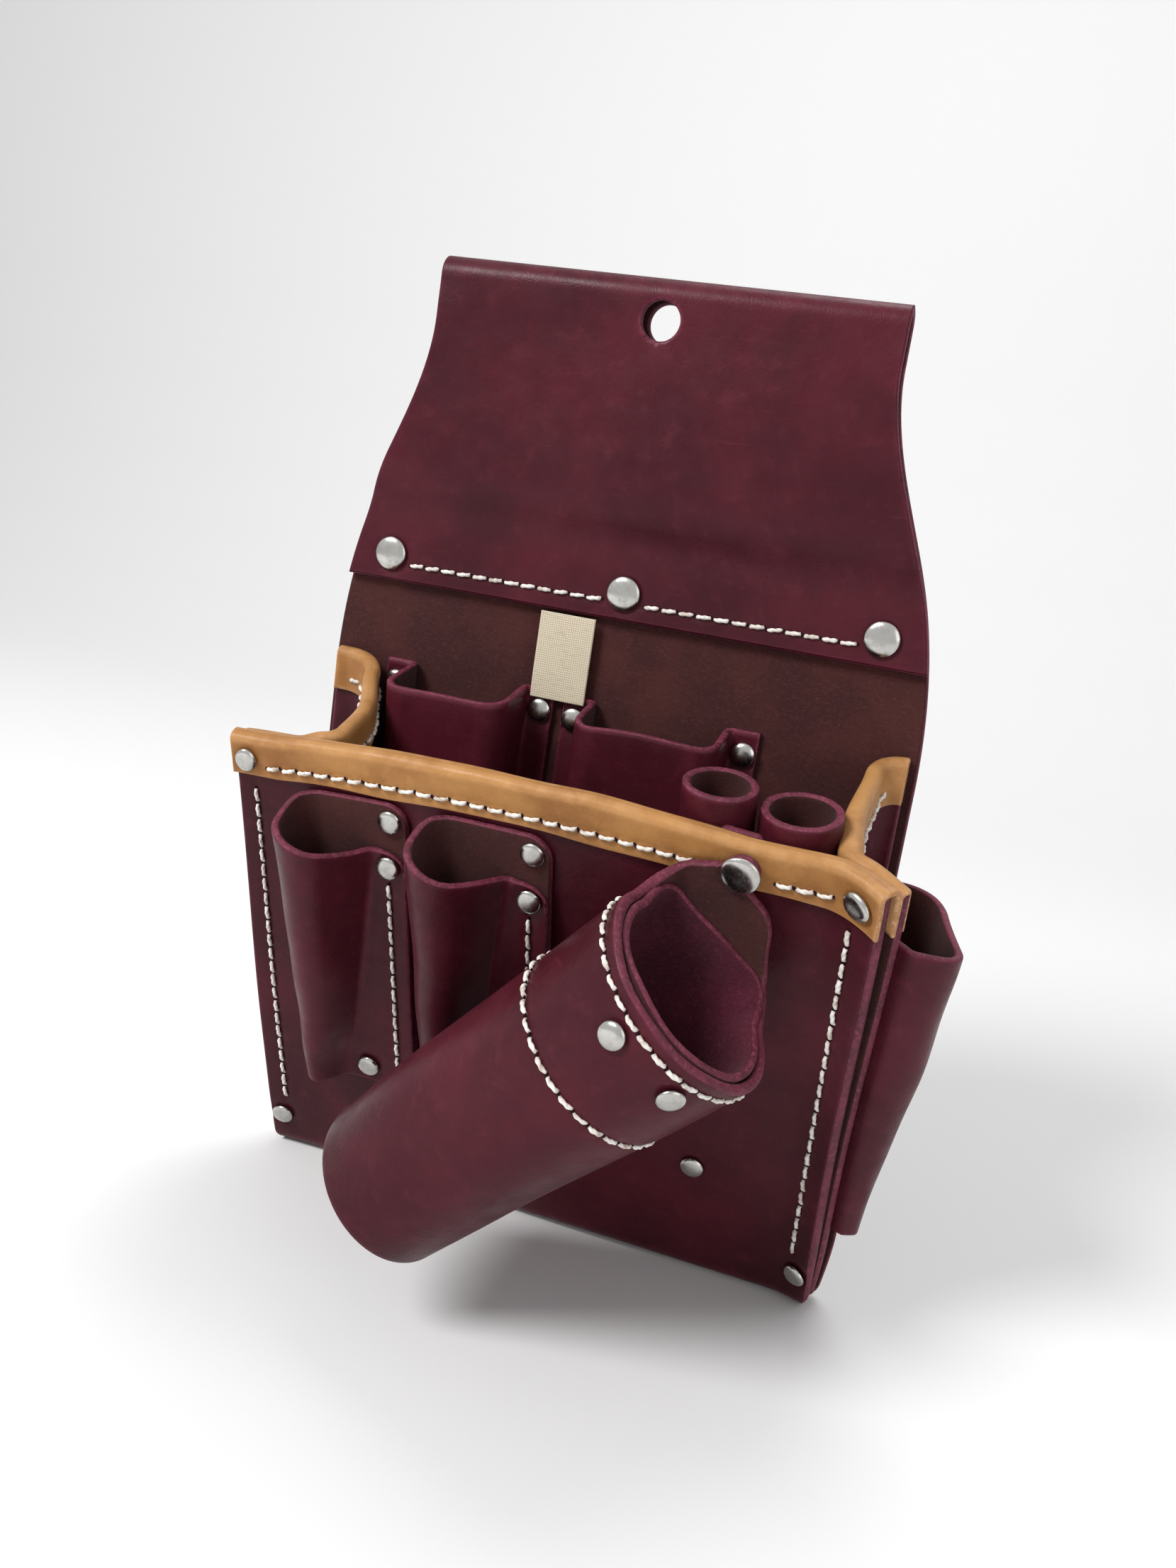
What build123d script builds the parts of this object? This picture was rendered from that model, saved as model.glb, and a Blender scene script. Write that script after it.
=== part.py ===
"""Electrician's leather tool pouch, in millimetres.

One long leather sheet makes the belt flap, the back, the bottom fold and the leaning front
panel.  Gussets folded inwards close its sides, pockets hang inside it, two small sheaths are
riveted on its front, pliers holsters sit outside the gussets and a hammer holster swings on a
large rivet.  X runs to the right seen from the front, which looks towards -Y, +Z is up, and the origin
is the centre of the hanging hole on the back face of the back panel.
"""
from build123d import *
from math import acos, cos, degrees, radians, sin
import os

# ---- leather -------------------------------------------------------------------------------
PANEL_T = 3.2            # main sheet and hammer holster
POCKET_T = 2.4           # sheaths, inner pockets, pliers holsters
GUSSET_T = 2.2
TRIM_T = 1.6             # tan binding
LINING_T = 2.4           # collar lining of the hammer holster
LABEL_T = 1.0            # folded woven label

# ---- bag -----------------------------------------------------------------------------------
BAG_WIDTH = 204.0        # front panel, edge to edge
FLAP_TOP_WIDTH = 149.0   # over the top fold
FLAP_LOW_WIDTH = 192.0   # at the flap's lower edge
BAG_HEIGHT = 320.0       # bottom fold to top fold
PANEL_LENGTH = 175.0     # front panel, measured up its slope
PANEL_LEAN = 19.0        # degrees, front panel from the vertical
FOLD_GAP = 6.0           # inside both folds, which is also the belt's space
FLAP_DROP = 106.0        # top fold down to the flap's lower edge
FLAP_FLAT = 17.0         # height of the flap that lies flat on the back
FLAP_GAP = 0.2           # between flap and back where they are riveted
FLAP_BEND = 30.0         # radius of the flap's two shallow bends
CORNER_R = 7.0           # bottom corners
HOLE_DROP = 13.0         # hanging hole below the top fold
HOLE_D = 12.0

# ---- gussets and trim ----------------------------------------------------------------------
TRIM_DROP = 13.0         # how far the trim comes down over an edge
GUSSET_BACK_DROP = 26.0  # where a gusset meets the back, below the flap's lower edge
GUSSET_FOOT = 6.0
GUSSET_FLANGE = {"left": 29.0, "right": 8.0}
GUSSET_FOOT_FLANGE = {"left": 20.0, "right": 8.0}
GUSSET_WALL_LEAN = {"left": 15.6, "right": 0.0}
GUSSET_BEND = 3.5
GUSSET_FOOT_BEND = 1.6
GUSSET_BACK_INSET = 3.0  # where the gussets end on the back, in from the bag's edge
PLIERS_LIP_DROP = 2.5    # the lip's two ends below the gusset's binding
PLIERS_FOOT = 38.0
PLIERS_LIP_SAG = 7.0     # the lip dips this much between its two ends
PLIERS_REACH = 3.5       # straight run outside the bag's edge, at the lip
PLIERS_FOOT_REACH = 0.4
PLIERS_BEND = 14.0
PLIERS_FOOT_BEND = 4.2
PLIERS_FLANGE = 7.6

# ---- inner pockets, on the back panel ------------------------------------------------------
# name: left x, right x, lip below the flap's edge, foot height, depth at the lip, at the foot
INNER_POCKETS = {
    "level_pocket": (-70.5, -29.5, 31.0, 75.0, 25.0, 12.0),
    "wrench_pocket": (-5.0, 41.0, 32.0, 88.0, 21.0, 12.0),
}
INNER_FLANGE = 10.5
INNER_ROOT_BEND = 2.0
INNER_CORNER_BEND = 8.0
INNER_LIP_RISE = 5.0     # the lip stands this much higher at the back

# ---- tool tubes, behind the front panel ------------------------------------------------------
# name: middle x, outer diameter, lip above the panel's top edge, side of the pivot tab
TOOL_TUBES = {
    "chisel_tube": (51.0, 22.5, 9.0, 1),
    "knife_tube": (75.3, 24.5, 6.0, -1),
}
TUBE_FOOT = 68.0
TUBE_TAB_H = 24.0

# ---- sheaths on the front panel: fold x, seam x ----------------------------------------------
SHEATHS = {"pencil_sheath": (-80.0, -46.0), "driver_sheath": (-35.0, 1.0)}
SHEATH_TOP = PANEL_LENGTH - 14.5   # up the front panel's slope, as all heights here
SHEATH_LIP = PANEL_LENGTH - 27.0
SHEATH_FOOT = 49.0
SHEATH_SEAM_MARGIN = 6.0
SHEATH_BEND = 10.0       # middle of the fold at the lip
SHEATH_FOOT_BEND = 5.2
SHEATH_ROOT_BEND = 4.0   # where the front layer meets the seam
SHEATH_SLOPE = 50.0      # degrees, front layer coming down to the seam
SHEATH_CORNER_R = 8.0
SHEATH_BACK_RIVET = SHEATH_TOP - 6.0
SHEATH_FRONT_RIVET = SHEATH_LIP - 8.5
SHEATH_FOOT_RIVET = SHEATH_FOOT + 7.0

# ---- hammer holster ------------------------------------------------------------------------
PIVOT_X = 64.0
PIVOT_S = PANEL_LENGTH - 5.5       # up the front panel's slope
PIVOT_CLEAR = 0.4        # round and under the swinging tongue
HOLSTER_SWING = 43.8     # degrees from hanging straight down, at rest
HOLSTER_LEAN = 8.4       # degrees, tube leaning away from the panel
HOLSTER_SIDE = 11.0      # tube's middle beside the pivot when it hangs straight
HOLSTER_DROP = 17.5      # mouth below the pivot when it hangs straight
MOUTH_R = 30.6
TAIL_R = 26.0
HOLSTER_LENGTH = 125.0
LINING_DEPTH = 38.0
TONGUE_R = 5.4           # ear round the pivot, hidden under its cap
TONGUE_HALF = 17.0
TONGUE_SHOULDER = 2.5    # top edge below the pivot, beside the ear
TONGUE_CORNER = 11.0
TONGUE_CLEAR = 1.1       # tongue off the trim, so that it swings over the stitches

# ---- rivets and thread ---------------------------------------------------------------------
SMALL_CAP_R = 4.0
LARGE_CAP_R = 5.6
PIVOT_CAP_R = 5.8
FLAP_RIVET_IN = 12.5     # from the flap's corners
FLAP_RIVET_UP = 9.0      # from its lower edge
FLAP_STITCH_UP = 6.0
POST_R = 1.7
POST_CLEAR = 0.1
CAP_RISE = 1.9           # dome of a front cap
CAP_EDGE = 0.5
BACK_CAP_T = 1.0
BACK_CAP_SUNK = 0.1      # below the back panel's face, where a cap is set flush
STITCH_PITCH = 5.8
STITCH_LENGTH = 4.0
STITCH_W = 0.9
STITCH_T = 0.7
STITCH_LIFT = 0.03       # off a tapering tube
SEAM_INSET = 7.0         # side seams from the panel's edge

# ---- label ---------------------------------------------------------------------------------
LABEL_LEFT = -27.0
LABEL_RIGHT = -8.0
LABEL_DROP = 29.0
LABEL_CLEAR = 0.9

# ---- worked out ----------------------------------------------------------------------------
EDGE = BAG_WIDTH / 2
TOP_Z = HOLE_DROP
FLOOR_Z = TOP_Z - BAG_HEIGHT
MID_R = (FOLD_GAP + PANEL_T) / 2
OUTER_R = FOLD_GAP / 2 + PANEL_T
FLAP_SEAM_Z = TOP_Z - FLAP_DROP + FLAP_RIVET_UP
LEAN_UP = Vector(0, -sin(radians(PANEL_LEAN)), cos(radians(PANEL_LEAN)))
LEAN_OUT = Vector(0, -cos(radians(PANEL_LEAN)), -sin(radians(PANEL_LEAN)))
fold_centre = Vector(0, -PANEL_T / 2 - MID_R, FLOOR_Z + OUTER_R)
fold_end = fold_centre + LEAN_OUT * OUTER_R
FOOT_S = (fold_end.Z - FLOOR_Z) / LEAN_UP.Z
FRONT = Plane(origin=fold_end - LEAN_UP * FOOT_S, x_dir=(1, 0, 0), z_dir=LEAN_OUT)
FRONT_TOP_H = PANEL_LENGTH * LEAN_UP.Z
FLAP_LOW_H = BAG_HEIGHT - FLAP_DROP       # heights are above the bottom fold
GUSSET_TOP_BACK = FLAP_LOW_H - GUSSET_BACK_DROP
PLIERS_ENDS = min(FRONT_TOP_H, GUSSET_TOP_BACK) - TRIM_DROP - PLIERS_LIP_DROP


def at_front(shape):
    """Carry a shape from the front panel's own frame (x, up the slope, out) to the bag."""
    return FRONT.location * shape


def front_y(height, out=0.0):
    """Y at a height above the bottom fold of the plane that lies `out` outside the panel."""
    return FRONT.origin.Y + height * LEAN_UP.Y / LEAN_UP.Z - out / cos(radians(PANEL_LEAN))


def strip(start, heading, moves, thickness):
    """Face of a leather strip seen edge on, drawn along its middle line.

    A move is (length,) for a flat stretch or (radius, turn) for a bend, left turns positive.
    """
    half = thickness / 2
    point, angle = Vector(*start), heading
    sides = {1: [], -1: []}

    def normal(degrees_round):
        return Vector(-sin(radians(degrees_round)), cos(radians(degrees_round)))

    tips = [[point + normal(angle) * half * side for side in (1, -1)]]
    for move in moves:
        if len(move) == 1:
            onward = Vector(cos(radians(angle)), sin(radians(angle))) * move[0]
            for side in sides:
                offset = normal(angle) * half * side
                sides[side].append(Line(point + offset, point + onward + offset))
            point = point + onward
        else:
            radius, turn = move
            hand = 1 if turn > 0 else -1
            centre = point + normal(angle) * radius * hand
            for side in sides:
                arm = (radius - hand * side * half) * hand
                stops = [centre - normal(angle + turn * share) * arm for share in (0, 0.5, 1)]
                sides[side].append(ThreePointArc(*stops))
            point = centre - normal(angle + turn) * radius * hand
            angle += turn
    tips.append([point + normal(angle) * half * side for side in (1, -1)])
    return make_face([*sides[1], Line(*tips[1]), *reversed(sides[-1]), Line(*tips[0])])


def prism_x(points, x0, x1):
    """Solid between x0 and x1 whose outline is given as (y, z) points."""
    face = make_face(Polyline(*[(x0, y, z) for y, z in points], close=True))
    return extrude(face, x1 - x0, dir=(1, 0, 0))


def slab(x0, x1, y0, y1, z0, z1):
    return Pos((x0 + x1) / 2, (y0 + y1) / 2, (z0 + z1) / 2) * Box(x1 - x0, y1 - y0, z1 - z0)


def solids_of(shapes):
    return Compound(children=[solid for shape in shapes for solid in shape.solids()])


# ---- rivets --------------------------------------------------------------------------------
class Rivet:
    """A double cap rivet: `seat` has its origin on the front leather, looking outwards."""

    def __init__(self, seat, grip, cap_r=SMALL_CAP_R, back_r=None, flush=False):
        self.seat, self.cap_r, self.flush = seat, cap_r, flush
        self.back_r = back_r or cap_r
        self.grip = grip - BACK_CAP_T - BACK_CAP_SUNK if flush else grip

    def solid(self):
        upright = (Align.CENTER, Align.CENTER, Align.MIN)
        hanging = (Align.CENTER, Align.CENTER, Align.MAX)
        cap = Cylinder(self.cap_r, CAP_RISE, align=upright)
        cap = fillet(cap.edges().group_by(Axis.Z)[-1], CAP_RISE - CAP_EDGE)
        post = Cylinder(POST_R, self.grip, align=hanging)
        back = Pos(0, 0, -self.grip) * Cylinder(self.back_r, BACK_CAP_T, align=hanging)
        return self.seat.location * (cap + post + back)

    def bore(self):
        reach = 0.4
        hanging = (Align.CENTER, Align.CENTER, Align.MAX)
        hole = Pos(0, 0, reach) * Cylinder(POST_R + POST_CLEAR, self.grip + 2 * reach,
                                           align=hanging)
        if self.flush:
            hole = hole + Pos(0, 0, -self.grip) * Cylinder(self.back_r + POST_CLEAR,
                                                           2 * BACK_CAP_T, align=hanging)
        return self.seat.location * hole


def front_seat(x, s, out):
    return Plane(origin=FRONT.from_local_coords((x, s, out)), x_dir=(1, 0, 0), z_dir=LEAN_OUT)


def back_seat(x, height, y):
    return Plane(origin=(x, y, FLOOR_Z + height), x_dir=(1, 0, 0), z_dir=(0, -1, 0))


# ---- where the layers lie --------------------------------------------------------------------
LOFT_TOP = max(FRONT_TOP_H, GUSSET_TOP_BACK) + 12   # gussets are lofted up to here, then cut
LEAF_GAP = 0.15           # between bindings that lie back to back
SEAT_GAP = 0.1            # spare length of a rivet through leaves that are not quite parallel
COS_LEAN = cos(radians(PANEL_LEAN))
FLAP_FACE_Y = -2 * PANEL_T - FLAP_GAP
TONGUE_BACK = TRIM_T + TONGUE_CLEAR
TONGUE_FACE = TONGUE_BACK + PANEL_T
TAB_FACE = -PANEL_T - TRIM_T                       # tube tabs start behind the front trim
TRIM_RIVET_X = EDGE - 5.2
TRIM_RIVET_S = PANEL_LENGTH - 7.0
LOW_RIVET = (58.0, 48.0)
CORNER_RIVET = (EDGE - 5.0, 15.0)
INNER_RIVET_DROP = 3.0
INNER_RIVET_OUT = INNER_FLANGE - SMALL_CAP_R - 0.3
SEAM_RIVET_IN = 11.2      # foot rivet of a sheath, in from its seam
SHEATH_STACK = 2 * POCKET_T + SEAT_GAP    # both layers of a sheath at its seam


def seam_gap(height):
    """Gap between the front panel and a gusset, room for both bindings at the top."""
    return (2 * TRIM_T + 2 * LEAF_GAP) * height / (FRONT_TOP_H - TRIM_DROP)


def back_gap(height):
    """Gap between the back panel and a gusset, room for the gusset's binding at the top."""
    return (TRIM_T + LEAF_GAP) * height / (GUSSET_TOP_BACK - TRIM_DROP)


def trim_stack(s):
    """Depth from the front panel's face to the back of a gusset's binding."""
    return PANEL_T + seam_gap(s * COS_LEAN) + (GUSSET_T + TRIM_T) * COS_LEAN + 2 * SEAT_GAP


RIVETS = {
    "flap_rivets": [Rivet(back_seat(x, FLAP_SEAM_Z - FLOOR_Z, FLAP_FACE_Y), -FLAP_FACE_Y,
                          LARGE_CAP_R, flush=True)
                    for x in (FLAP_RIVET_IN - FLAP_LOW_WIDTH / 2, 0,
                              FLAP_LOW_WIDTH / 2 - FLAP_RIVET_IN)],
    "holster_pivot_rivet": [Rivet(front_seat(PIVOT_X, PIVOT_S, TONGUE_FACE + PIVOT_CLEAR),
                                  TONGUE_FACE + PIVOT_CLEAR - TAB_FACE + POCKET_T,
                                  PIVOT_CAP_R, back_r=2.8)],
    "trim_rivets": [Rivet(front_seat(side * TRIM_RIVET_X, TRIM_RIVET_S, TRIM_T),
                          TRIM_T + trim_stack(TRIM_RIVET_S), SMALL_CAP_R, back_r=2.8)
                    for side in (-1, 1)],
    "corner_rivets": [Rivet(front_seat(side * CORNER_RIVET[0], CORNER_RIVET[1], 0),
                            PANEL_T + seam_gap(CORNER_RIVET[1]) + GUSSET_T, SMALL_CAP_R,
                            back_r=2.8)
                      for side in (-1, 1)],
    "front_low_rivet": [Rivet(front_seat(*LOW_RIVET, 0), PANEL_T + 2 * POCKET_T)],
    "inner_pocket_rivets": [
        Rivet(back_seat(x, FLAP_LOW_H - lip_drop - INNER_RIVET_DROP, -PANEL_T - POCKET_T),
              PANEL_T + POCKET_T, flush=True)
        for left, right, lip_drop, foot, depth, foot_depth in INNER_POCKETS.values()
        for x in (left - INNER_RIVET_OUT, right + INNER_RIVET_OUT)],
}
for sheath, (fold_x, seam_x) in SHEATHS.items():
    RIVETS[sheath + "_rivets"] = [
        Rivet(front_seat(seam_x, SHEATH_BACK_RIVET, POCKET_T), PANEL_T + POCKET_T),
        Rivet(front_seat(seam_x, SHEATH_FRONT_RIVET, SHEATH_STACK), PANEL_T + SHEATH_STACK),
        Rivet(front_seat(seam_x - SEAM_RIVET_IN, SHEATH_FOOT_RIVET, SHEATH_STACK),
              PANEL_T + SHEATH_STACK),
    ]


def bored(shape, *groups):
    """Cut the holes of the rivets that pass through a leather piece."""
    for group in groups:
        for rivet in RIVETS[group]:
            shape = shape - rivet.bore()
    return shape


# ---- main sheet ----------------------------------------------------------------------------
def body_panel():
    """Flap, top fold, back, bottom fold and front panel in one sheet."""
    flap_low = TOP_Z - FLAP_DROP
    bend_turn = degrees(acos(1 - (FOLD_GAP - FLAP_GAP) / (2 * FLAP_BEND)))
    bend_rise = 2 * FLAP_BEND * sin(radians(bend_turn))
    fold_z = TOP_Z - OUTER_R
    profile = strip((FLAP_FACE_Y + PANEL_T / 2, flap_low), 90,
                    [(FLAP_FLAT,), (FLAP_BEND, bend_turn), (FLAP_BEND, -bend_turn),
                     (fold_z - flap_low - FLAP_FLAT - bend_rise,), (MID_R, -180),
                     (BAG_HEIGHT - 2 * OUTER_R,), (MID_R, PANEL_LEAN - 180),
                     (PANEL_LENGTH - FOOT_S,)], PANEL_T)
    sheet = extrude(Plane.YZ * profile, BAG_WIDTH, both=True)
    half_top, half_low = FLAP_TOP_WIDTH / 2, FLAP_LOW_WIDTH / 2
    waist_z, skirt_z, shoulder_z = TOP_Z - 18, TOP_Z - 88, TOP_Z - 143
    low_z = FLOOR_Z - 1
    outline = []
    for side in (1, -1):
        outline += [
            Line((side * half_top, TOP_Z + 1), (side * half_top, waist_z)),
            Spline((side * half_top, waist_z), (side * (half_low - 0.8), skirt_z),
                   (side * EDGE, shoulder_z), tangents=((0, -1), (0, -1))),
            Line((side * EDGE, shoulder_z), (side * EDGE, low_z + CORNER_R)),
            ThreePointArc((side * EDGE, low_z + CORNER_R),
                          (side * (EDGE - CORNER_R * (1 - sin(radians(45)))),
                           low_z + CORNER_R * (1 - cos(radians(45)))),
                          (side * (EDGE - CORNER_R), low_z)),
        ]
    outline += [Line((-half_top, TOP_Z + 1), (half_top, TOP_Z + 1)),
                Line((CORNER_R - EDGE, low_z), (EDGE - CORNER_R, low_z))]
    sheet = sheet & extrude(Plane.XZ * make_face(outline), BAG_WIDTH, both=True)
    sheet = sheet - Plane.XZ * Cylinder(HOLE_D / 2, 6 * FOLD_GAP)
    return bored(sheet, "flap_rivets", "holster_pivot_rivet", "trim_rivets", "corner_rivets",
                 "front_low_rivet", "inner_pocket_rivets",
                 *[sheath + "_rivets" for sheath in SHEATHS])


def front_trim():
    """Tan binding folded over the front panel's top edge."""
    outer = slab(-EDGE - TRIM_T / 2, EDGE + TRIM_T / 2, PANEL_LENGTH - TRIM_DROP,
                 PANEL_LENGTH + TRIM_T, -PANEL_T - TRIM_T, TRIM_T)
    outer = fillet(outer.edges().filter_by(Axis.X).group_by(Axis.Y)[-1], TRIM_T)
    panel = slab(-BAG_WIDTH, BAG_WIDTH, 0, PANEL_LENGTH, -PANEL_T, 0)
    return bored(at_front(outer - panel), "holster_pivot_rivet", "trim_rivets")


# ---- gussets, their binding, pliers holsters -------------------------------------------------
def gusset_face(side, height, thickness):
    """Level section of a gusset: in along the front, back across the bag, out along the back."""
    share = (height - GUSSET_FOOT) / (LOFT_TOP - GUSSET_FOOT)
    bend = GUSSET_FOOT_BEND + (GUSSET_BEND - GUSSET_FOOT_BEND) * share
    flange = GUSSET_FOOT_FLANGE[side] + (GUSSET_FLANGE[side] - GUSSET_FOOT_FLANGE[side]) * share
    lean = GUSSET_WALL_LEAN[side]
    front = front_y(height, -PANEL_T - seam_gap(height)) + GUSSET_T / 2
    back = -PANEL_T - back_gap(height) - GUSSET_T / 2
    wall = (back - front - 2 * bend) / cos(radians(lean))
    back_flange = flange - GUSSET_BACK_INSET - wall * sin(radians(lean))
    face = strip((-EDGE, front), 0,
                 [(flange,), (bend, 90 + lean), (wall,), (bend, 90 - lean), (back_flange,)],
                 thickness)
    if side == "right":
        face = mirror(face, about=Plane.YZ)
    return Pos(0, 0, FLOOR_Z + height) * face


def below_lip(offset):
    """Everything under a line `offset` above the gussets' lip, as one solid."""
    back = (-PANEL_T, FLOOR_Z + GUSSET_TOP_BACK + offset)
    front = (front_y(FRONT_TOP_H, -PANEL_T), FLOOR_Z + FRONT_TOP_H + offset)
    slope = (back[1] - front[1]) / (back[0] - front[0])
    reach = BAG_WIDTH
    return prism_x([(back[0] + reach, back[1] + slope * reach), (reach, FLOOR_Z - 1),
                    (-2 * reach, FLOOR_Z - 1), (front[0] - reach, front[1] - slope * reach)],
                   -BAG_WIDTH, BAG_WIDTH)


def gusset(side):
    faces = [gusset_face(side, height, GUSSET_T) for height in (GUSSET_FOOT, LOFT_TOP)]
    return bored(loft(faces, ruled=True) & below_lip(0), "trim_rivets", "corner_rivets")


def gusset_trim(side):
    """Binding folded over a gusset's lip."""
    low = min(FRONT_TOP_H, GUSSET_TOP_BACK) - TRIM_DROP - 1
    leaves = []
    for thickness in (GUSSET_T + 2 * TRIM_T, GUSSET_T):
        leaves.append(loft([gusset_face(side, height, thickness) for height in (low, LOFT_TOP)],
                           ruled=True))
    binding = (leaves[0] & below_lip(TRIM_T)) - below_lip(-TRIM_DROP)
    return bored(binding - (leaves[1] & below_lip(0)), "trim_rivets")


def pliers_face(side, height):
    share = (height - PLIERS_FOOT) / (PLIERS_ENDS - PLIERS_FOOT)
    bend = PLIERS_FOOT_BEND + (PLIERS_BEND - PLIERS_FOOT_BEND) * share
    reach = PLIERS_FOOT_REACH + (PLIERS_REACH - PLIERS_FOOT_REACH) * share
    front = front_y(height, -PANEL_T - seam_gap(height)) + GUSSET_T + POCKET_T / 2
    back = -PANEL_T - back_gap(height) - GUSSET_T - POCKET_T / 2
    out = PLIERS_FLANGE + reach
    face = strip((EDGE - PLIERS_FLANGE, front), 0,
                 [(out,), (bend, 90), (back - front - 2 * bend,), (bend, 90), (out,)], POCKET_T)
    if side == "left":
        face = mirror(face, about=Plane.YZ)
    return Pos(0, 0, FLOOR_Z + height) * face


def pliers_holster(side):
    wall = loft([pliers_face(side, height) for height in (PLIERS_FOOT, PLIERS_ENDS)], ruled=True)
    front, back, top_z = front_y(PLIERS_ENDS), 0.0, FLOOR_Z + PLIERS_ENDS
    lip = [(front, top_z), ((front + back) / 2, top_z - PLIERS_LIP_SAG), (back, top_z)]
    scoop = make_face([ThreePointArc(*lip), Line(lip[2], lip[0])])
    scoop = extrude(Plane.YZ * scoop, BAG_WIDTH, both=True)
    return wall - scoop


# ---- pockets on the back panel ---------------------------------------------------------------
def inner_pocket(name):
    left, right, lip_drop, foot, depth, foot_depth = INNER_POCKETS[name]
    lip = FLAP_LOW_H - lip_drop
    lip_top = lip + INNER_LIP_RISE
    faces = []
    for height in (foot, lip_top):
        share = (height - foot) / (lip_top - foot)
        corner = INNER_CORNER_BEND * (0.5 + 0.5 * share)
        side_wall = foot_depth + (depth - foot_depth) * share - INNER_ROOT_BEND - corner
        moves = [(INNER_FLANGE - INNER_ROOT_BEND,), (INNER_ROOT_BEND, -90), (side_wall,),
                 (corner, 90), (right - left - 2 * corner,), (corner, 90), (side_wall,),
                 (INNER_ROOT_BEND, -90), (INNER_FLANGE - INNER_ROOT_BEND,)]
        face = strip((left - INNER_FLANGE, -PANEL_T - POCKET_T / 2), 0, moves, POCKET_T)
        faces.append(Pos(0, 0, FLOOR_Z + height) * face)
    front = -PANEL_T - POCKET_T - depth
    above = prism_x([(-PANEL_T, FLOOR_Z + lip_top), (front, FLOOR_Z + lip),
                     (front - depth, FLOOR_Z + lip), (front - depth, FLOOR_Z + 2 * lip),
                     (-PANEL_T, FLOOR_Z + 2 * lip)], -BAG_WIDTH, BAG_WIDTH)
    return bored(loft(faces, ruled=True) - above, "inner_pocket_rivets")


# ---- tool tubes behind the front panel -------------------------------------------------------
def tube_ring(name):
    """Section of a tool tube in the front panel's (x, out) plane."""
    middle, diameter, lip_rise, hand = TOOL_TUBES[name]
    centre = (middle, TAB_FACE - SEAT_GAP - diameter / 2)
    return Pos(*centre) * (Circle(diameter / 2) - Circle(diameter / 2 - POCKET_T))


def up_slope(face, s0, s1):
    """Extrude a section of the front panel's (x, out) plane from s0 up to s1."""
    return extrude(Plane.XZ.offset(-s0) * face, -(s1 - s0))


def tool_tube(name):
    middle, diameter, lip_rise, hand = TOOL_TUBES[name]
    tube = up_slope(tube_ring(name), TUBE_FOOT, PANEL_LENGTH + lip_rise)
    tab_low, tab_high = PANEL_LENGTH - TUBE_TAB_H, PANEL_LENGTH + 1
    if hand > 0:
        tab = slab(middle + 3, PIVOT_X + 3.6, tab_low, tab_high, TAB_FACE - POCKET_T, TAB_FACE)
        foot = slab(middle + 1, LOW_RIVET[0] + 6, LOW_RIVET[1] - 7, TUBE_FOOT + 12,
                    -PANEL_T - POCKET_T, -PANEL_T)
        tube = tube + tab + foot
    else:
        low, high = -PANEL_T - 2 * POCKET_T, -PANEL_T - POCKET_T
        foot = slab(LOW_RIVET[0] - 6, middle, LOW_RIVET[1] - 7, LOW_RIVET[1] + 7, low, high)
        neck = slab(middle - 7, middle, LOW_RIVET[1], TUBE_FOOT + 12, low, high)
        tube = tube + foot + neck
    return bored(at_front(tube), "holster_pivot_rivet", "front_low_rivet")


# ---- sheaths on the front panel --------------------------------------------------------------
def sheath_face(name, bend):
    """Section of a sheath: back layer, round the fold, front layer down to the seam."""
    fold_x, seam_x = SHEATHS[name]
    outer_x = seam_x + SHEATH_SEAM_MARGIN
    turn = radians(SHEATH_SLOPE)
    bend_x = fold_x + bend + POCKET_T / 2
    drop = (bend * (1 + cos(turn)) + POCKET_T - SHEATH_STACK
            - SHEATH_ROOT_BEND * (1 - cos(turn)))
    slope = drop / sin(turn)
    flat_x = bend_x + bend * sin(turn) + slope * cos(turn) + SHEATH_ROOT_BEND * sin(turn)
    return strip((outer_x, POCKET_T / 2), 180,
                 [(outer_x - bend_x,), (bend, -180 - SHEATH_SLOPE), (slope,),
                  (SHEATH_ROOT_BEND, SHEATH_SLOPE), (outer_x - flat_x,)], POCKET_T)


def sheath(name):
    fold_x, seam_x = SHEATHS[name]
    outer_x = seam_x + SHEATH_SEAM_MARGIN
    wrap = loft([Plane.XZ.offset(-SHEATH_FOOT) * sheath_face(name, SHEATH_FOOT_BEND),
                 Plane.XZ.offset(-SHEATH_TOP) * sheath_face(name, SHEATH_BEND)], ruled=True)
    above = 2 * SHEATH_TOP
    lip = Spline((fold_x - 3, SHEATH_TOP - 1), (fold_x + 4, SHEATH_LIP + 5),
                 (fold_x + 14, SHEATH_LIP), (seam_x - 7, SHEATH_LIP),
                 (seam_x + 3, SHEATH_FRONT_RIVET + 4.5), (outer_x + 2, SHEATH_FRONT_RIVET - 5))
    over_lip = make_face([lip, Line(lip @ 1, (outer_x + 2, above)),
                          Line((outer_x + 2, above), (fold_x - 3, above)),
                          Line((fold_x - 3, above), lip @ 0)])
    wrap = wrap - Pos(0, 0, POCKET_T + SEAT_GAP) * extrude(over_lip, 4 * SHEATH_BEND)
    corner = (outer_x - SHEATH_CORNER_R, SHEATH_TOP - SHEATH_CORNER_R)
    wrap = wrap - (slab(corner[0], outer_x + 1, corner[1], above, -1, POCKET_T + 1)
                   - Pos(*corner) * Cylinder(SHEATH_CORNER_R, 6 * POCKET_T))
    return bored(at_front(wrap), name + "_rivets")


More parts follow.
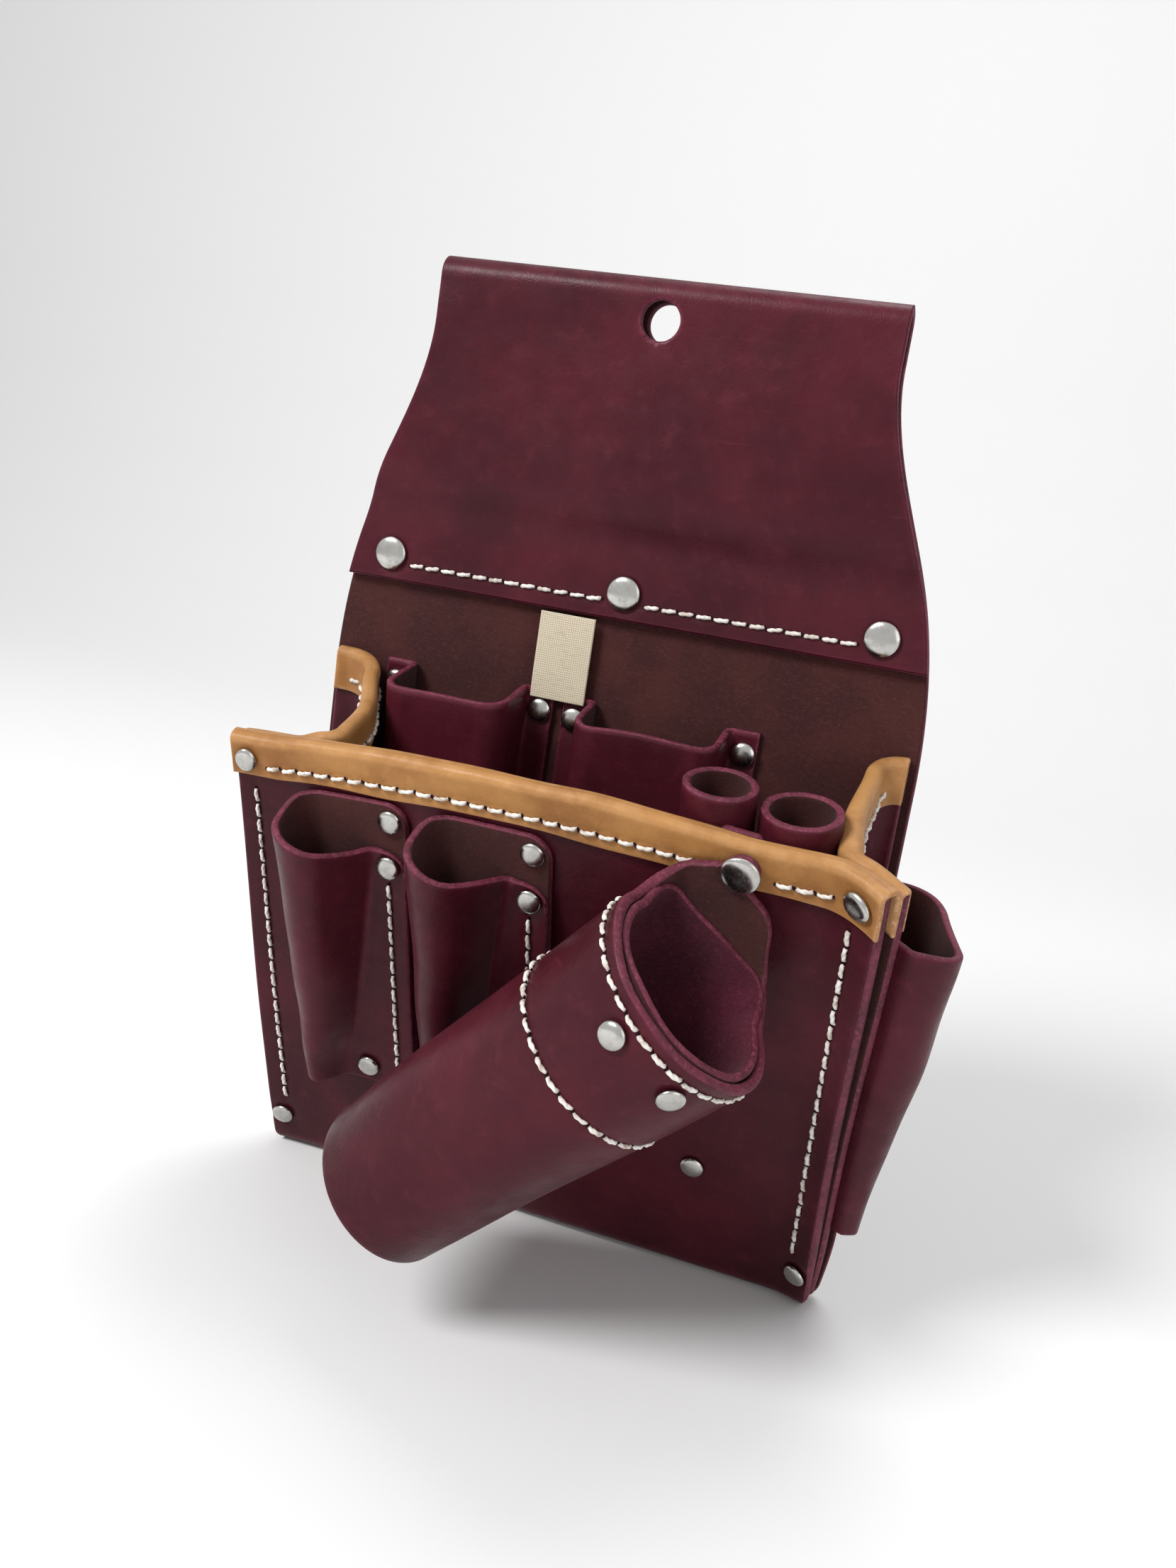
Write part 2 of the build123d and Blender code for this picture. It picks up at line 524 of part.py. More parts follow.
# ---- hammer holster --------------------------------------------------------------------------
# It is drawn hanging straight down, in the panel's frame with the pivot at (0, 0), then swung.
MOUTH = Vector(HOLSTER_SIDE, -HOLSTER_DROP, TONGUE_BACK + MOUTH_R * cos(radians(HOLSTER_LEAN)))
TUBE = Plane(origin=MOUTH, x_dir=(1, 0, 0),
             z_dir=(0, -cos(radians(HOLSTER_LEAN)), sin(radians(HOLSTER_LEAN))))
TAPER = (MOUTH_R - TAIL_R) / HOLSTER_LENGTH


def tube_radius(depth):
    return MOUTH_R - TAPER * depth


def swung(shape):
    swing = Location((PIVOT_X, PIVOT_S, 0), (0, 0, -HOLSTER_SWING))
    return at_front(swing * shape)


def tube_cone(start, end, inset):
    """Solid cone of the tube from one depth to another, `inset` inside its outer face."""
    cone = Cone(tube_radius(start) - inset, tube_radius(end) - inset, end - start,
                align=(Align.CENTER, Align.CENTER, Align.MIN))
    return TUBE.location * Pos(0, 0, start) * cone


def collar_seat(depth, round_angle, lift):
    """Plane `lift` off the tube's outer face: 0 degrees is straight out from the panel."""
    angle = radians(round_angle)
    radius = tube_radius(depth) + lift
    outward = TUBE.x_dir * sin(angle) + TUBE.y_dir * cos(angle)
    return Plane(origin=MOUTH + TUBE.z_dir * depth + outward * radius,
                 x_dir=TUBE.z_dir.cross(outward), z_dir=outward)


COLLAR_RIVET_DEPTH = 11.0
COLLAR_RIVET_ANGLES = (-22, 22)
CAP_LIFT = 0.17           # a flat cap on the round tube
collar_rivets = [Rivet(collar_seat(COLLAR_RIVET_DEPTH, angle, CAP_LIFT),
                       PANEL_T + LINING_T + SEAT_GAP + 3 * CAP_LIFT, back_r=3.0)
                 for angle in COLLAR_RIVET_ANGLES]


def hammer_holster():
    tube = tube_cone(0, HOLSTER_LENGTH, 0) - tube_cone(-1, HOLSTER_LENGTH + 1, PANEL_T)
    low, top = MOUTH.Y - 12, -TONGUE_SHOULDER
    left, right = -TONGUE_R, HOLSTER_SIDE + TONGUE_HALF
    back = make_face(Polyline((left, top), (left, low), (right, low), (right, top), (left, top)))
    corner = back.vertices().group_by(Axis.Y)[-1].sort_by(Axis.X)[-1]
    back = fillet(corner, TONGUE_CORNER) + Circle(TONGUE_R)
    tongue = Pos(0, 0, TONGUE_BACK) * extrude(back, PANEL_T)
    tongue = tongue - tube_cone(0, LINING_DEPTH, PANEL_T)
    body = tube + tongue
    body = body - Cylinder(POST_R + PIVOT_CLEAR, 8 * PANEL_T)
    for rivet in collar_rivets:
        body = body - rivet.bore()
    return swung(body)


def holster_lining():
    lining = (tube_cone(0, LINING_DEPTH, PANEL_T + SEAT_GAP)
              - tube_cone(-1, LINING_DEPTH + 1, PANEL_T + SEAT_GAP + LINING_T))
    for rivet in collar_rivets:
        lining = lining - rivet.bore()
    return swung(lining)


# ---- label -----------------------------------------------------------------------------------
LABEL_FACE_Y = FLAP_FACE_Y - LABEL_T / 2
LABEL_TOP = TOP_Z - FLAP_DROP - LABEL_CLEAR


def label_tag():
    """Blank woven label, a folded loop that hangs from under the flap's lower edge."""
    tag = slab(LABEL_LEFT, LABEL_RIGHT, LABEL_FACE_Y, LABEL_FACE_Y + LABEL_T,
               LABEL_TOP - LABEL_DROP, LABEL_TOP)
    return fillet(tag.edges().filter_by(Axis.X), LABEL_T * 0.45)


# ---- thread ----------------------------------------------------------------------------------
def stitch(seat):
    """One visible stitch: `seat` lies on the leather with its x along the seam."""
    return seat.location * Box(STITCH_LENGTH, STITCH_W, STITCH_T,
                               align=(Align.CENTER, Align.CENTER, Align.MIN))


def seam(start, end, outward):
    """Straight row of stitches between two points on a flat face."""
    start, end = Vector(*start), Vector(*end)
    length = (end - start).length
    count = int(length / STITCH_PITCH)
    along = (end - start).normalized()
    first = start + along * (length - (count - 1) * STITCH_PITCH) / 2
    return [stitch(Plane(origin=first + along * STITCH_PITCH * number, x_dir=along,
                         z_dir=outward)) for number in range(count)]


def front_seam(start, end, out):
    """Row on a face that lies `out` in front of the front panel."""
    return seam(FRONT.from_local_coords((*start, out)), FRONT.from_local_coords((*end, out)),
                LEAN_OUT)


def flap_stitches():
    cap = LARGE_CAP_R + 1
    xs = [rivet.seat.origin.X for rivet in RIVETS["flap_rivets"]]
    z = TOP_Z - FLAP_DROP + FLAP_STITCH_UP
    rows = [seam((a + cap, FLAP_FACE_Y, z), (b - cap, FLAP_FACE_Y, z), (0, -1, 0))
            for a, b in zip(xs, xs[1:])]
    return sum(rows, [])


def trim_front_stitches():
    s = PANEL_LENGTH - TRIM_DROP + 4
    cap = PIVOT_CAP_R + 1
    ends = (PIVOT_X - cap, PIVOT_X + cap)
    rivet = TRIM_RIVET_X - SMALL_CAP_R - 1
    return (front_seam((-rivet, s), (ends[0], s), TRIM_T)
            + front_seam((ends[1], s), (rivet, s), TRIM_T))


def side_seam_stitches(hand):
    x = hand * (EDGE - SEAM_INSET)
    return front_seam((x, CORNER_RIVET[1] + 6), (x, PANEL_LENGTH - TRIM_DROP - 2), 0)


def sheath_stitches(name):
    seam_x = SHEATHS[name][1]
    return front_seam((seam_x, SHEATH_FOOT + 2), (seam_x, SHEATH_FRONT_RIVET - 5), SHEATH_STACK)


def collar_stitches(depth, half_angle):
    """Row round the front of the tube, `half_angle` to each side."""
    step = degrees(STITCH_PITCH / tube_radius(depth))
    count = int(2 * half_angle / step)
    angles = [step * (number - (count - 1) / 2) for number in range(count)]
    return [swung(stitch(collar_seat(depth, angle, STITCH_LIFT))) for angle in angles]


# ---- write each sub-part ---------------------------------------------------------------------
nodes = {
    "body_panel": body_panel(),
    "trim_front": front_trim(),
    "hammer_holster": hammer_holster(),
    "holster_lining": holster_lining(),
    "holster_rivets": solids_of([swung(rivet.solid()) for rivet in collar_rivets]),
    "label_tag": label_tag(),
    "flap_stitches": solids_of(flap_stitches()),
    "trim_front_stitches": solids_of(trim_front_stitches()),
    "holster_lip_stitches": solids_of(collar_stitches(4.5, 130)),
    "holster_collar_stitches": solids_of(collar_stitches(LINING_DEPTH - 3, 130)),
}
for side, hand in (("left", -1), ("right", 1)):
    nodes["gusset_" + side] = gusset(side)
    nodes["trim_" + side] = gusset_trim(side)
    nodes["pliers_holster_" + side] = pliers_holster(side)
    nodes["side_seam_stitches_" + side] = solids_of(side_seam_stitches(hand))
for name in INNER_POCKETS:
    nodes[name] = inner_pocket(name)
for name in TOOL_TUBES:
    nodes[name] = tool_tube(name)
for name in SHEATHS:
    nodes[name] = sheath(name)
    nodes[name + "_stitches"] = solids_of(sheath_stitches(name))
for name, group in RIVETS.items():
    nodes[name] = solids_of([rivet.solid() for rivet in group])

os.makedirs("parts", exist_ok=True)
for name, shape in nodes.items():
    export_step(shape, f"parts/{name}.step")
    print(f"{name}: {len(shape.solids())} solids, {shape.volume:.0f} mm3")
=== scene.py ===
from math import acos, cos, degrees, pi, radians, sin, sqrt

import bmesh
import bpy
import numpy as np
from mathutils import Matrix, Vector, kdtree


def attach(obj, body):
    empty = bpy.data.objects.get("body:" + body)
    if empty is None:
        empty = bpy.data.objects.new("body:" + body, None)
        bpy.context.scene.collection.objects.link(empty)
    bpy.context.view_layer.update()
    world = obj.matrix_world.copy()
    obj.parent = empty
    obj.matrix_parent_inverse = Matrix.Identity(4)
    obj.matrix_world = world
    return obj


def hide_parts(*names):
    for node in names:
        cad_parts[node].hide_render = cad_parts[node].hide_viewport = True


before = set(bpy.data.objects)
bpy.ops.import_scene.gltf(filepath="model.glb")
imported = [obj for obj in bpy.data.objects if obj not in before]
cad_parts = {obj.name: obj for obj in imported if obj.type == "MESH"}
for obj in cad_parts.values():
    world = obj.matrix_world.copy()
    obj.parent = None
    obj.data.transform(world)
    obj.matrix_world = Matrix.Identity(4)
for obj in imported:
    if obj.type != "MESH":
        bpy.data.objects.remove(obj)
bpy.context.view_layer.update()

MM = 0.001

# ---- sizes of the pouch ----------------------------------------------------------------------
# a name that ends in _T is a leather's thickness, in _R a radius
PANEL_T, POCKET_T, GUSSET_T, TRIM_T, LINING_T = 3.2, 2.4, 2.2, 1.6, 2.4
EDGE = 102.0
FLAP_TOP_HALF, FLAP_LOW_HALF = 74.5, 96.0
BAG_HEIGHT, PANEL_LENGTH, PANEL_LEAN = 320.0, 175.0, radians(19.0)
FOLD_GAP, FLAP_GAP = 6.0, 0.2
FLAP_DROP, FLAP_FLAT, FLAP_BEND = 106.0, 17.0, 30.0
CORNER_R, TOP_Z, HOLE_R = 7.0, 13.0, 6.0
FLOOR_Z = TOP_Z - BAG_HEIGHT
MID_R, OUTER_R = (FOLD_GAP + PANEL_T) / 2, FOLD_GAP / 2 + PANEL_T
FLAP_FACE_Y = -2 * PANEL_T - FLAP_GAP
FLAP_LOW_Z = TOP_Z - FLAP_DROP
TRIM_DROP = 13.0
TONGUE_BACK = TRIM_T + 1.1
TONGUE_FACE = TONGUE_BACK + PANEL_T
STITCH_PITCH, STITCH_LENGTH = 5.8, 4.0
SEAM_INSET, SEAM_OPENING, BACK_OPENING = 7.0, 3.5, 1.75

# the front panel's own frame: x, s up the slope, h outwards
UP = np.array([0.0, -sin(PANEL_LEAN), cos(PANEL_LEAN)])
OUT = np.array([0.0, -cos(PANEL_LEAN), -sin(PANEL_LEAN)])
FOLD_CENTRE = np.array([0.0, -PANEL_T / 2 - MID_R, FLOOR_Z + OUTER_R])
FOLD_END = FOLD_CENTRE + OUT * OUTER_R
FOOT_S = (FOLD_END[2] - FLOOR_Z) / UP[2]
FRONT_ORIGIN = FOLD_END - UP * FOOT_S
FRONT_TOP_H = PANEL_LENGTH * UP[2]
GUSSET_TOP_BACK = BAG_HEIGHT - FLAP_DROP - 26.0


def front(x, s, h):
    """Points given in the front panel's frame, in the pouch's frame."""
    x, s, h = np.broadcast_arrays(x, s, h)
    place = FRONT_ORIGIN + s[..., None] * UP + h[..., None] * OUT
    place[..., 0] += x
    return place


def front_y(height, out=0.0):
    """Y at a height above the bottom fold of the plane that lies `out` outside the panel."""
    return FRONT_ORIGIN[1] + height * UP[1] / UP[2] - out / cos(PANEL_LEAN)


def seam_gap(height):
    """Space between the front panel and a gusset's flange, which the binding fills at the top."""
    return SEAM_OPENING * height / (FRONT_TOP_H - TRIM_DROP)


def back_gap(height):
    return BACK_OPENING * height / (GUSSET_TOP_BACK - TRIM_DROP)


def smooth(value, low, high):
    """0 below low, 1 above high, and an even turn between."""
    share = np.clip((value - low) / (high - low), 0, 1)
    return share * share * (3 - 2 * share)


def unit(ways):
    """The same directions, each 1 long."""
    return ways / np.maximum(np.linalg.norm(ways, axis=-1, keepdims=True), 1e-9)


# where the side seams start to curl, the run to full curl, and how far past it the curl goes on
RIGHT_CURL_X, RIGHT_CURL_RUN, LEFT_CURL_X, LEFT_CURL_RUN, CURL_PAST = 87.0, 15.0, -72.0, 30.0, 1.15
RIGHT_CURL, LEFT_CURL, RIGHT_CORNER_CURL = 5.5, 2.0, 1.5
ARCH_RISE, ARCH_MIDDLE, ARCH_HALF, RIGHT_DROOP = 3.2, -10.0, 75.0, 1.5
RIGHT_TOP_OUT, LEFT_TOP_OUT = 2.2, 2.6


def draped(points):
    """The leather's own set: an arched top edge, a drooping right corner, seams curling forward.

    It fades out from the front panel towards the back and down to the bottom fold."""
    rest = points - FRONT_ORIGIN
    x, s, h = points[..., 0], rest @ UP, rest @ OUT
    near = smooth(h, -48, -12)
    upper = smooth(s, 60, 172) * near
    right = np.clip((x - RIGHT_CURL_X) / RIGHT_CURL_RUN, 0, CURL_PAST) ** 2
    left = np.clip((LEFT_CURL_X - x) / LEFT_CURL_RUN, 0, CURL_PAST) ** 2
    arch = ARCH_RISE * np.clip(1 - ((x - ARCH_MIDDLE) / ARCH_HALF) ** 2, 0, 1) - RIGHT_DROOP * right
    held = near * smooth(s, -25, 30)
    curl = held * (RIGHT_CURL * right + LEFT_CURL * left) + upper * RIGHT_CORNER_CURL * right
    slope = held * (2 * RIGHT_CURL * np.sqrt(right) / RIGHT_CURL_RUN
                    - 2 * LEFT_CURL * np.sqrt(left) / LEFT_CURL_RUN)
    moved = points + (upper * arch)[..., None] * UP + curl[..., None] * OUT
    moved[..., 0] += upper * (LEFT_TOP_OUT * left + RIGHT_TOP_OUT * right)
    moved[..., 0] -= slope * np.clip(h + PANEL_T / 2, -7, 12)
    return moved


# ---- sampling --------------------------------------------------------------------------------
def rows(start, end, step, fine=(), fine_step=0.5, growth=0.35, edge=0.5):
    """Stations from start to end, closer together near both ends and near the fine places."""
    marks = np.array([start, end, *fine], float)
    stations = [start]
    while stations[-1] < end:
        near = np.abs(marks - stations[-1])
        gap = min(step, min(fine_step + growth * near[2:].min() if len(fine) else step,
                            edge + growth * near[:2].min()))
        stations.append(stations[-1] + gap)
    stations = np.array(stations)
    return start + (stations - start) * (end - start) / (stations[-1] - start)


# a station is a leg's number plus the share of that leg, which stays just under the next number
WHOLE_LEG = 0.999999


class Path:
    """Middle line of a leather strip seen edge on, in (a, b).

    A move is a straight run (length,) or a bend (radius, turn in degrees)."""

    def __init__(self, start, heading, moves):
        self.legs, self.ends = [], [0.0]
        point, angle = np.array(start, float), radians(heading)
        for move in moves:
            if len(move) == 1:
                (length,), turn = move, 0.0
                onward = point + np.array([cos(angle), sin(angle)]) * length
                self.legs.append((point, angle, length, 0.0, 0.0))
            else:
                radius, turn = move[0], radians(move[1])
                length = radius * abs(turn)
                hand = 1 if turn > 0 else -1
                centre = point + np.array([-sin(angle), cos(angle)]) * radius * hand
                onward = centre - np.array([-sin(angle + turn), cos(angle + turn)]) * radius * hand
                self.legs.append((centre, angle, length, radius * hand, turn))
            point, angle = onward, angle + turn
            self.ends.append(self.ends[-1] + length)
        self.length = self.ends[-1]

    def stations(self, lengths):
        """Lengths along the path as leg number plus the share of that leg."""
        number = np.clip(np.searchsorted(self.ends, lengths, side="right") - 1, 0,
                         len(self.legs) - 1)
        starts, ends = np.array(self.ends)[number], np.array(self.ends)[number + 1]
        shares = np.clip((lengths - starts) / np.maximum(ends - starts, 1e-9), 0, 1)
        return number + shares * WHOLE_LEG

    def at(self, stations):
        points = np.empty((len(stations), 2))
        for k, station in enumerate(stations):
            number = int(station)
            share = (station - number) / WHOLE_LEG
            base, angle, length, arm, turn = self.legs[number]
            if arm == 0:
                points[k] = base + np.array([cos(angle), sin(angle)]) * length * share
            else:
                now = angle + turn * share
                points[k] = base - np.array([-sin(now), cos(now)]) * arm
        return points


def wobble(points, size, seed):
    """Smooth unevenness between about -1 and 1, with waves about `size` long."""
    draw = np.random.default_rng(seed)
    total = np.zeros(points.shape[:-1])
    for _ in range(7):
        wave = draw.normal(size=3)
        wave *= 2 * pi / (size * np.linalg.norm(wave)) * draw.uniform(0.6, 1.7)
        total += np.sin(points @ wave + draw.uniform(0, 2 * pi))
    return total / 3.2


def between(foot, head, heights, low, high):
    """Section of a wall at each height, from a foot line at low to a head line at high."""
    share = ((heights - low) / (high - low))[..., None]
    return foot[:, None] * (1 - share) + head[:, None] * share


def matched(low, high, step, fine, fine_step, growth):
    """Lengths and stations along the high path, and the points of both paths at them."""
    lengths = rows(0, high.length, step, fine, fine_step, growth)
    stations = high.stations(lengths)
    return lengths, stations, low.at(stations), high.at(stations)


def upright(plan, heights):
    return np.concatenate([plan, FLOOR_Z + heights[..., None]], -1)


def heights_to(lip, low, step, edge):
    """Heights from low up to the lip of each line of a wall."""
    shares = rows(0, 1, step, (), step, 1.0, edge)
    return low + (lip[:, None] - low) * shares[None]


def cross_sheet(xs, section):
    """Grid of a (y, z) section drawn out along X."""
    grid = np.empty((len(xs), len(section), 3))
    grid[..., 0] = xs[:, None]
    grid[..., 1:] = section[None]
    return grid


def distance_to(points, places):
    """Distance from each point to the nearest of the places."""
    tree = kdtree.KDTree(len(places))
    for k, place in enumerate(places):
        tree.insert(place, k)
    tree.balance()
    flat = points.reshape(-1, 3)
    near = np.array([tree.find(point)[2] for point in flat])
    return near.reshape(points.shape[:-1])


# ---- sheets of leather -----------------------------------------------------------------------
GRAIN, FLESH, CUT = 0, 1, 2
# the cut edge's section is a flattened half round: the turns of its rows, the turn where the
# faces meet it, its bulge as a share of the thickness, and how far in from it the dye is worn
RIM_TURNS, FACE_TURN, RIM_BULGE, WORN_REACH = (40, 0, -40), radians(72), 0.32, 0.8


class Piece:
    """Mesh of one piece: sheets, lathed and swept solids gathered with their materials."""

    def __init__(self, name, materials):
        self.name, self.materials = name, materials
        self.places, self.quads, self.slots, self.worn, self.bent = [], [], [], [], []
        self.count = 0

    def add(self, places, quads, slot, worn=None, bent=None):
        places = np.asarray(places, float).reshape(-1, 3)
        quads = np.asarray(quads, int).reshape(-1, 4)
        self.places.append(places)
        self.quads.append(quads + self.count)
        self.slots.append(np.broadcast_to(slot, len(quads)))
        self.worn.append(np.zeros(len(places)) if worn is None else worn)
        self.bent.append(np.zeros(len(places)) if bent is None else bent)
        self.count += len(places)

    def sheet(self, middle, thickness, grain=1, closed=False, keep=None, pressed=None,
              slots=(GRAIN, FLESH, CUT)):
        """Leather of a thickness about a grid of middle points, with rounded cut edges.

        `grain` is the side of the grid, 1 or -1, that the smooth grain faces. `closed` joins the
        last line to the first, `keep` says which faces stay, and `pressed` is how deep the grain
        side is dented at each point."""
        nu, nv = middle.shape[:2]
        across = (np.roll(middle, -1, 0) - np.roll(middle, 1, 0)) if closed \
            else np.gradient(middle, axis=0)
        along = np.gradient(middle, axis=1)
        normal = unit(np.cross(across, along) * grain)
        i, j = np.meshgrid(np.arange(nu if closed else nu - 1), np.arange(nv - 1), indexing="ij")
        after = (i + 1) % nu
        quads = np.stack([i * nv + j, after * nv + j, after * nv + j + 1, i * nv + j + 1], -1)
        quads = quads[keep] if keep is not None else quads.reshape(-1, 4)
        if grain < 0:
            quads = quads[:, ::-1]
        total = nu * nv
        sides = np.concatenate([quads[:, [k, (k + 1) % 4]] for k in range(4)])
        border = sides[~np.isin(sides[:, 0] * total + sides[:, 1],
                                sides[:, 1] * total + sides[:, 0])]
        middle, normal = middle.reshape(-1, 3), normal.reshape(-1, 3)
        outer = middle + normal * thickness / 2
        if pressed is not None:
            outer -= normal * pressed.reshape(-1, 1)
        inner = middle - normal * thickness / 2
        # follow the border's edges round into loops, one for each outline or hole
        follow = dict(border.tolist())
        loops, edge_places = [], []
        while follow:
            first, after = next(iter(follow.items()))
            loop = [first]
            while after != first:
                loop.append(after)
                after = follow.pop(after)
            follow.pop(first, None)
            loops.append(np.array(loop))
            edge_places.append(middle[loop])
        used = np.zeros(total, bool)
        used[quads] = True
        new = np.cumsum(used) - 1
        near = distance_to(middle[used], np.concatenate(edge_places)) if loops \
            else np.full(used.sum(), 99.0)
        worn = 0.8 * np.exp(-(near / WORN_REACH) ** 1.4)
        half, bulge = thickness / 2, thickness * RIM_BULGE
        rims, rim_quads = [], []
        base = 2 * used.sum()
        for loop in loops:
            tangent = middle[np.roll(loop, -1)] - middle[np.roll(loop, 1)]
            outward = unit(np.cross(tangent, normal[loop]))
            lowered = 0 if pressed is None else pressed.reshape(-1)[loop][:, None]
            outer[loop] = (middle[loop] + normal[loop] * (half * sin(FACE_TURN) - lowered)
                           + outward * bulge * (cos(FACE_TURN) - 1))
            inner[loop] = (middle[loop] - normal[loop] * half * sin(FACE_TURN)
                           + outward * bulge * (cos(FACE_TURN) - 1))
            ranks = [new[loop]]
            for turn in RIM_TURNS:
                rims.append(middle[loop] + normal[loop] * half * sin(radians(turn))
                            + outward * bulge * (cos(radians(turn)) - 1))
                ranks.append(base + np.arange(len(loop)))
                base += len(loop)
            ranks.append(new[loop] + used.sum())
            for one, two in zip(ranks, ranks[1:]):
                rim_quads.append(np.stack([np.roll(one, -1), one, two, np.roll(two, -1)], -1))
        quads = new[quads]
        rim_count = sum(len(rim) for rim in rims)
        rim_quads = np.concatenate(rim_quads) if rim_quads else np.empty((0, 4), int)
        bent = self.bending(middle.reshape(nu, nv, 3), normal.reshape(nu, nv, 3))[used]
        # grain side, flesh side and the rows of the cut edges between them
        self.add(np.concatenate([outer[used], inner[used], *rims]),
                 np.concatenate([quads, quads[:, ::-1] + used.sum(), rim_quads]),
                 np.concatenate([np.full(len(quads), slots[0]), np.full(len(quads), slots[1]),
                                 np.full(len(rim_quads), slots[2])]),
                 np.concatenate([worn, worn, np.ones(rim_count)]),
                 np.concatenate([bent, bent, np.zeros(rim_count)]))

    @staticmethod
    def bending(places, normals):
        """How sharply the sheet turns, from 0 where it is flat to 1 at a tight fold."""
        total = np.zeros(places.shape[:2])
        for axis in (0, 1):
            turn = np.linalg.norm(np.gradient(normals, axis=axis), axis=-1)
            run = np.linalg.norm(np.gradient(places, axis=axis), axis=-1)
            total += turn / np.maximum(run, 0.2)
        return np.clip(total * 4.0, 0, 1).reshape(-1)

    def lathe(self, seat, profile, sides=32, slot=0):
        """Turned solid: profile is (radius, height) from the top of the seat's axis down."""
        profile = np.array(profile, float)
        turns = np.arange(sides) * 2 * pi / sides
        ring = np.stack([np.cos(turns), np.sin(turns)], -1)
        height = np.broadcast_to(profile[None, :, 1:], (sides, len(profile), 1))
        local = np.concatenate([ring[:, None, :] * profile[None, :, :1], height], -1)
        places = seat.carry(local.reshape(-1, 3))
        rank = np.arange(sides * len(profile)).reshape(sides, -1)
        after = np.roll(rank, -1, 0)
        quads = np.stack([rank[:, :-1], rank[:, 1:], after[:, 1:], after[:, :-1]], -1)
        self.add(places, quads, slot)

    def sweep(self, middle, rings, slot=0, worn=None):
        """Closed tube: rings is (stations, sides, 3); both ends run to the middle's end points."""
        sides = rings.shape[1]
        places = np.concatenate([np.repeat(middle[:1, None], sides, 1), rings,
                                 np.repeat(middle[-1:, None], sides, 1)])
        rank = np.arange(places.shape[0] * sides).reshape(-1, sides)
        after = np.roll(rank, -1, 1)
        quads = np.stack([rank[:-1], after[:-1], after[1:], rank[1:]], -1)
        self.add(places, quads, slot, worn=worn)

    def make(self, drape=False):
        mesh = bpy.data.meshes.new(self.name)
        places, quads = np.concatenate(self.places), np.concatenate(self.quads)
        if drape:
            places = draped(places)
        mesh.from_pydata((places * MM).tolist(), [], quads.tolist())
        for attribute, values in (("worn", self.worn), ("bent", self.bent)):
            layer = mesh.attributes.new(attribute, "FLOAT", "POINT")
            layer.data.foreach_set("value", np.concatenate(values).astype(np.float32))
        for material in self.materials:
            mesh.materials.append(material)
        mesh.polygons.foreach_set("material_index", np.concatenate(self.slots).astype(np.int32))
        mesh.polygons.foreach_set("use_smooth", np.ones(len(quads), bool))
        tidy_mesh(mesh)
        made = bpy.data.objects.new(self.name, mesh)
        bpy.context.scene.collection.objects.link(made)
        return made


def tidy_mesh(mesh):
    """Weld the points that fall together at poles and drop the faces that collapse there."""
    work = bmesh.new()
    work.from_mesh(mesh)
    bmesh.ops.remove_doubles(work, verts=work.verts, dist=0.002 * MM)
    bmesh.ops.dissolve_degenerate(work, edges=work.edges, dist=0.001 * MM)
    work.to_mesh(mesh)
    work.free()
    mesh.update()


class Seat:
    """A place on the leather: origin, the seam's direction and the way outwards."""

    def __init__(self, origin, along, outward):
        self.origin = np.array(origin, float)
        self.outward = np.array(outward, float) / np.linalg.norm(outward)
        along = np.array(along, float)
        along = along - self.outward * (along @ self.outward)
        self.along = along / np.linalg.norm(along)
        self.side = np.cross(self.outward, self.along)

    def carry(self, local):
        return (self.origin + local[..., :1] * self.along + local[..., 1:2] * self.side
                + local[..., 2:] * self.outward)


def finish_piece(piece, body, slot, *nodes):
    made = piece.make(drape=body == "pouch")
    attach(made, body)
    if nodes:
        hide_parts(*nodes)
    return made


